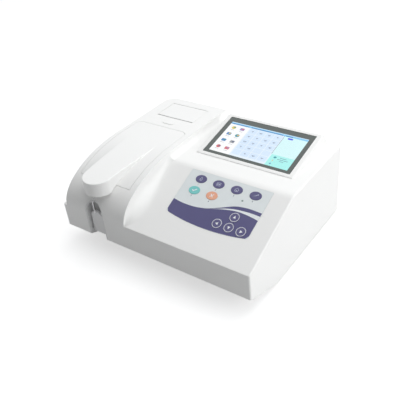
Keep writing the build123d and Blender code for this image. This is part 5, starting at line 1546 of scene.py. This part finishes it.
    def _rocker_signs(self) -> None:
        """Make the line and the ring on the switch's tilted rocker."""
        turn = Matrix.Rotation(-math.radians(self.rocker_tilt), 4, "X")
        centre = Matrix.Translation((self.switch[0], self.rocker_y, self.switch[1]))
        face = Matrix.Scale(MM, 4) @ centre @ turn @ TO_REAR
        line = [bar((0.0, 3.2), (0.0, 6.6), 0.9)]
        ring = [oval((0.0, -5.0), 2.0, 2.0, 32), oval((0.0, -5.0), 1.2, 1.2, 32)]
        signs = cut_sheet("rocker_signs", line + ring, face, self.rocker_reach, self.sign_ink)
        self.fit(signs, "rocker", Paint.WHITE_INK, "black_plastic")


@dataclass
class Interior(Piecework):
    """Small pieces that show when the lid is open."""

    pump: Point = (-140.0, -66.0)
    roller_circle: float = 11.1
    roller_count: int = 3
    rotor_top: float = 114.3
    cap_profile: Outline = ((0.0, 0.0), (2.2, 0.0), (2.2, 0.6), (1.7, 1.0), (0.0, 1.0))

    def build(self) -> None:
        """Make the caps of the pump's rollers."""
        caps = []
        for i in range(self.roller_count):
            turn = FULL_TURN * i / self.roller_count
            x = self.pump[0] + self.roller_circle * math.cos(turn)
            y = self.pump[1] + self.roller_circle * math.sin(turn)
            plane = facing((x, y, self.rotor_top), UPWARD)
            caps.append(turned(f"roller_cap_{i}", self.cap_profile, plane, 24))
        self.fit(joined("pump_roller_caps", caps), "pump_rotor", Paint.STEEL, "steel")


@dataclass
class Finishes:
    """Which finish each solid of the frame takes."""

    pieces: list[str] = field(default_factory=list, init=False)
    by_paint: dict[Paint, tuple[str, ...]] = field(
        default_factory=lambda: {
            Paint.CASE: (
                "upper_case",
                "lower_case",
                "lid",
                "screen_bezel",
                "printer_door",
                "door_release_button",
            ),
            Paint.BAY: ("aspiration_bay", "aspiration_paddle"),
            Paint.FILM: ("keypad_overlay",),
            Paint.KEY_NAVY: ("key_1", "key_2", "key_3", "key_4", "key_up", "key_left", "key_down")
            + ("key_right",),
            Paint.KEY_TEAL: ("key_5",),
            Paint.KEY_ORANGE: ("key_6",),
            Paint.LED: ("status_led",),
            Paint.GLASS: ("touch_glass",),
            Paint.DISPLAY: ("lcd_module",),
            Paint.BOARD: ("keypad_board", "main_board", "power_supply"),
            Paint.DARK: ("chamber_tray", "printer_frame", "paddle_sensor"),
            Paint.GREY: ("pump_housing", "pump_rotor", "pump_rollers"),
            Paint.CERAMIC: ("print_head",),
            Paint.RUBBER: ("platen_roller", "feet"),
            Paint.PAPER: ("paper_roll",),
            Paint.STEEL: ("hinge_pins", "sample_probe", "case_screws"),
            Paint.BENCH: ("optical_bench",),
            Paint.ANODISED: ("flow_cell_block", "lamp_housing", "filter_wheel"),
            Paint.QUARTZ: ("halogen_lamp", "condenser_lens", "flow_cell"),
            Paint.FILTERS: ("optical_filters",),
            Paint.MOTOR: ("filter_motor", "pump_motor", "photodetector"),
            Paint.SILICONE: ("pump_tube", "sample_tube", "waste_tube"),
            Paint.PANEL: ("rear_panel",),
            Paint.BLACK: ("mains_inlet", "power_switch", "fuse_drawer", "fan_housing")
            + ("fan_rotor",),
            Paint.PORT: ("data_ports", "waste_fitting"),
        }
    )

    def build(self) -> None:
        """Dress every solid of the frame and check that none is forgotten."""
        for finish, names in self.by_paint.items():
            for name in names:
                paint(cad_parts[name], finish)
                self.pieces.append(name)
        left = sorted(set(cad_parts) - set(self.pieces))
        if left:
            raise ValueError(f"no finish for {left}")


# Studio


@dataclass
class Studio:
    """White floor, soft lamps and the camera at the photograph's place."""

    camera_place: Place = (504.39, -633.51, 619.54)
    yaw: float = 39.03
    pitch: float = 35.07
    roll: float = -6.41
    focal_pixels: float = 562.30
    picture: float = 400.0
    sensor: float = 36.0
    floor_half: float = 12.0
    floor_glow: float = 0.56
    floor_cloud: float = 700.0
    floor_colours: tuple[Colour, Colour] = ((0.60, 0.60, 0.60), (0.62, 0.62, 0.62))
    floor_roughness: float = 0.9
    floor_specular: float = 0.1
    sky: Colour = (0.97, 0.985, 1.0)
    sky_reach: Span = (-0.75, 0.35)
    sky_light: Span = (0.15, 0.88)
    aim: Place = (0.0, 0.0, 0.08)
    lamps: tuple[tuple[str, Place, float, float], ...] = (
        ("overhead", (0.3, 0.6, 1.7), 1.6, 13.5),
        ("right_side", (1.8, 0.2, 0.8), 1.4, 12.0),
        ("left_side", (-1.8, -0.3, 1.2), 1.2, 2.0),
    )

    def build(self) -> None:
        """Make the floor, the surroundings, the lamps and the camera."""
        self._floor()
        self._world()
        for lamp in self.lamps:
            self._lamp(*lamp)
        self._camera()

    def _floor(self) -> None:
        """Make the pale floor, which looks white and keeps a soft shadow."""
        half = self.floor_half
        mesh = bpy.data.meshes.new("studio_floor")
        corners = [(-half, -half, 0), (half, -half, 0), (half, half, 0), (-half, half, 0)]
        mesh.from_pydata(corners, [], [(0, 1, 2, 3)])
        floor = bpy.data.objects.new("studio_floor", mesh)
        bpy.context.scene.collection.objects.link(floor)
        recipe = Recipe("studio_floor")
        recipe.dress(
            Base_Color=recipe.mix(recipe.noise(self.floor_cloud, 2.0), *self.floor_colours),
            Roughness=self.floor_roughness,
            Specular_IOR_Level=self.floor_specular,
        )
        plain = recipe.surface.outputs[0]
        glow = recipe.node("ShaderNodeEmission", None, {0: WHITE, 1: self.floor_glow}).outputs[0]
        both = recipe.node("ShaderNodeAddShader", None, {0: plain, 1: glow}).outputs[0]
        sides = {0: self._seen(recipe), 1: plain, 2: both}
        choice = recipe.node("ShaderNodeMixShader", None, sides)
        recipe.feed(recipe.output.inputs[0], choice.outputs[0])
        floor.data.materials.append(recipe.material)

    @staticmethod
    def _seen(recipe: Recipe) -> bpy.types.NodeSocket:
        """Find the rays that show the background: direct, mirrored or through glass.

        Args:
            recipe: The floor's recipe.

        Returns:
            1 for such a ray, else 0.
        """
        path = recipe.node("ShaderNodeLightPath")
        first = Shade(recipe, path.outputs["Is Camera Ray"])
        mirror = Shade(recipe, path.outputs["Is Glossy Ray"])
        through = Shade(recipe, path.outputs["Is Transmission Ray"])
        return ((first + mirror + through) > 0.5).socket

    def _world(self) -> None:
        """Make the white surroundings, brighter behind the instrument than in front."""
        world = bpy.data.worlds.new("studio_world")
        world.use_nodes = True
        bpy.context.scene.world = world
        tree = world.node_tree
        light = tree.nodes["Background"]
        light.inputs[0].default_value = (*self.sky, 1.0)
        way = tree.nodes.new("ShaderNodeTexCoord")
        parts = tree.nodes.new("ShaderNodeSeparateXYZ")
        slope = tree.nodes.new("ShaderNodeMapRange")
        slope.interpolation_type = "SMOOTHSTEP"
        ends = ("From Min", "From Max", "To Min", "To Max")
        for name, value in zip(ends, self.sky_reach + self.sky_light):
            slope.inputs[name].default_value = value
        tree.links.new(way.outputs["Generated"], parts.inputs[0])
        tree.links.new(parts.outputs["Y"], slope.inputs["Value"])
        tree.links.new(slope.outputs["Result"], light.inputs[1])
        white = tree.nodes.new("ShaderNodeBackground")
        white.inputs[0].default_value = (*WHITE, 1.0)
        path = tree.nodes.new("ShaderNodeLightPath")
        choice = tree.nodes.new("ShaderNodeMixShader")
        tree.links.new(path.outputs["Is Camera Ray"], choice.inputs[0])
        tree.links.new(light.outputs[0], choice.inputs[1])
        tree.links.new(white.outputs[0], choice.inputs[2])
        tree.links.new(choice.outputs[0], tree.nodes["World Output"].inputs[0])

    def _lamp(self, name: str, place: Place, size: float, power: float) -> None:
        """Hang one soft lamp that looks at the instrument.

        Args:
            name: The lamp's name.
            place: Where it hangs, in metres.
            size: Side of its square diffuser.
            power: Its power in watts.
        """
        lamp = bpy.data.lights.new(name, "AREA")
        lamp.size = size
        lamp.energy = power
        holder = bpy.data.objects.new(name, lamp)
        holder.location = place
        way = Vector(self.aim) - Vector(place)
        holder.rotation_euler = way.to_track_quat("-Z", "Y").to_euler()
        bpy.context.scene.collection.objects.link(holder)

    def _camera(self) -> None:
        """Place the camera that was fitted to the photograph."""
        yaw, pitch, roll = (math.radians(a) for a in (self.yaw, self.pitch, self.roll))
        level = math.cos(pitch)
        back = Vector((math.sin(yaw) * level, -math.cos(yaw) * level, math.sin(pitch)))
        right = (-back).cross(Vector(UPWARD)).normalized()
        up = right.cross(-back)
        across = right * math.cos(roll) + up * math.sin(roll)
        above = up * math.cos(roll) - right * math.sin(roll)
        lens = bpy.data.cameras.new("studio_camera")
        lens.sensor_width = self.sensor
        lens.lens = self.focal_pixels * self.sensor / self.picture
        camera = bpy.data.objects.new("studio_camera", lens)
        turn = Matrix((across, above, back)).transposed().to_4x4()
        camera.matrix_world = Matrix.Translation(Vector(self.camera_place) * MM) @ turn
        bpy.context.scene.collection.objects.link(camera)
        bpy.context.scene.camera = camera
        bpy.context.scene.view_settings.view_transform = "Standard"


def main() -> None:
    """Dress the frame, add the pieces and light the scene."""
    logging.basicConfig(level=logging.INFO, format="%(name)s: %(message)s")
    for assembly in (Finishes(), Keypad(), TouchScreen(), RearPanel(), Interior()):
        assembly.build()
        for name in assembly.pieces:
            log.info("%s: %s", type(assembly).__name__, name)
    Studio().build()


if __name__ == "__main__":
    main()
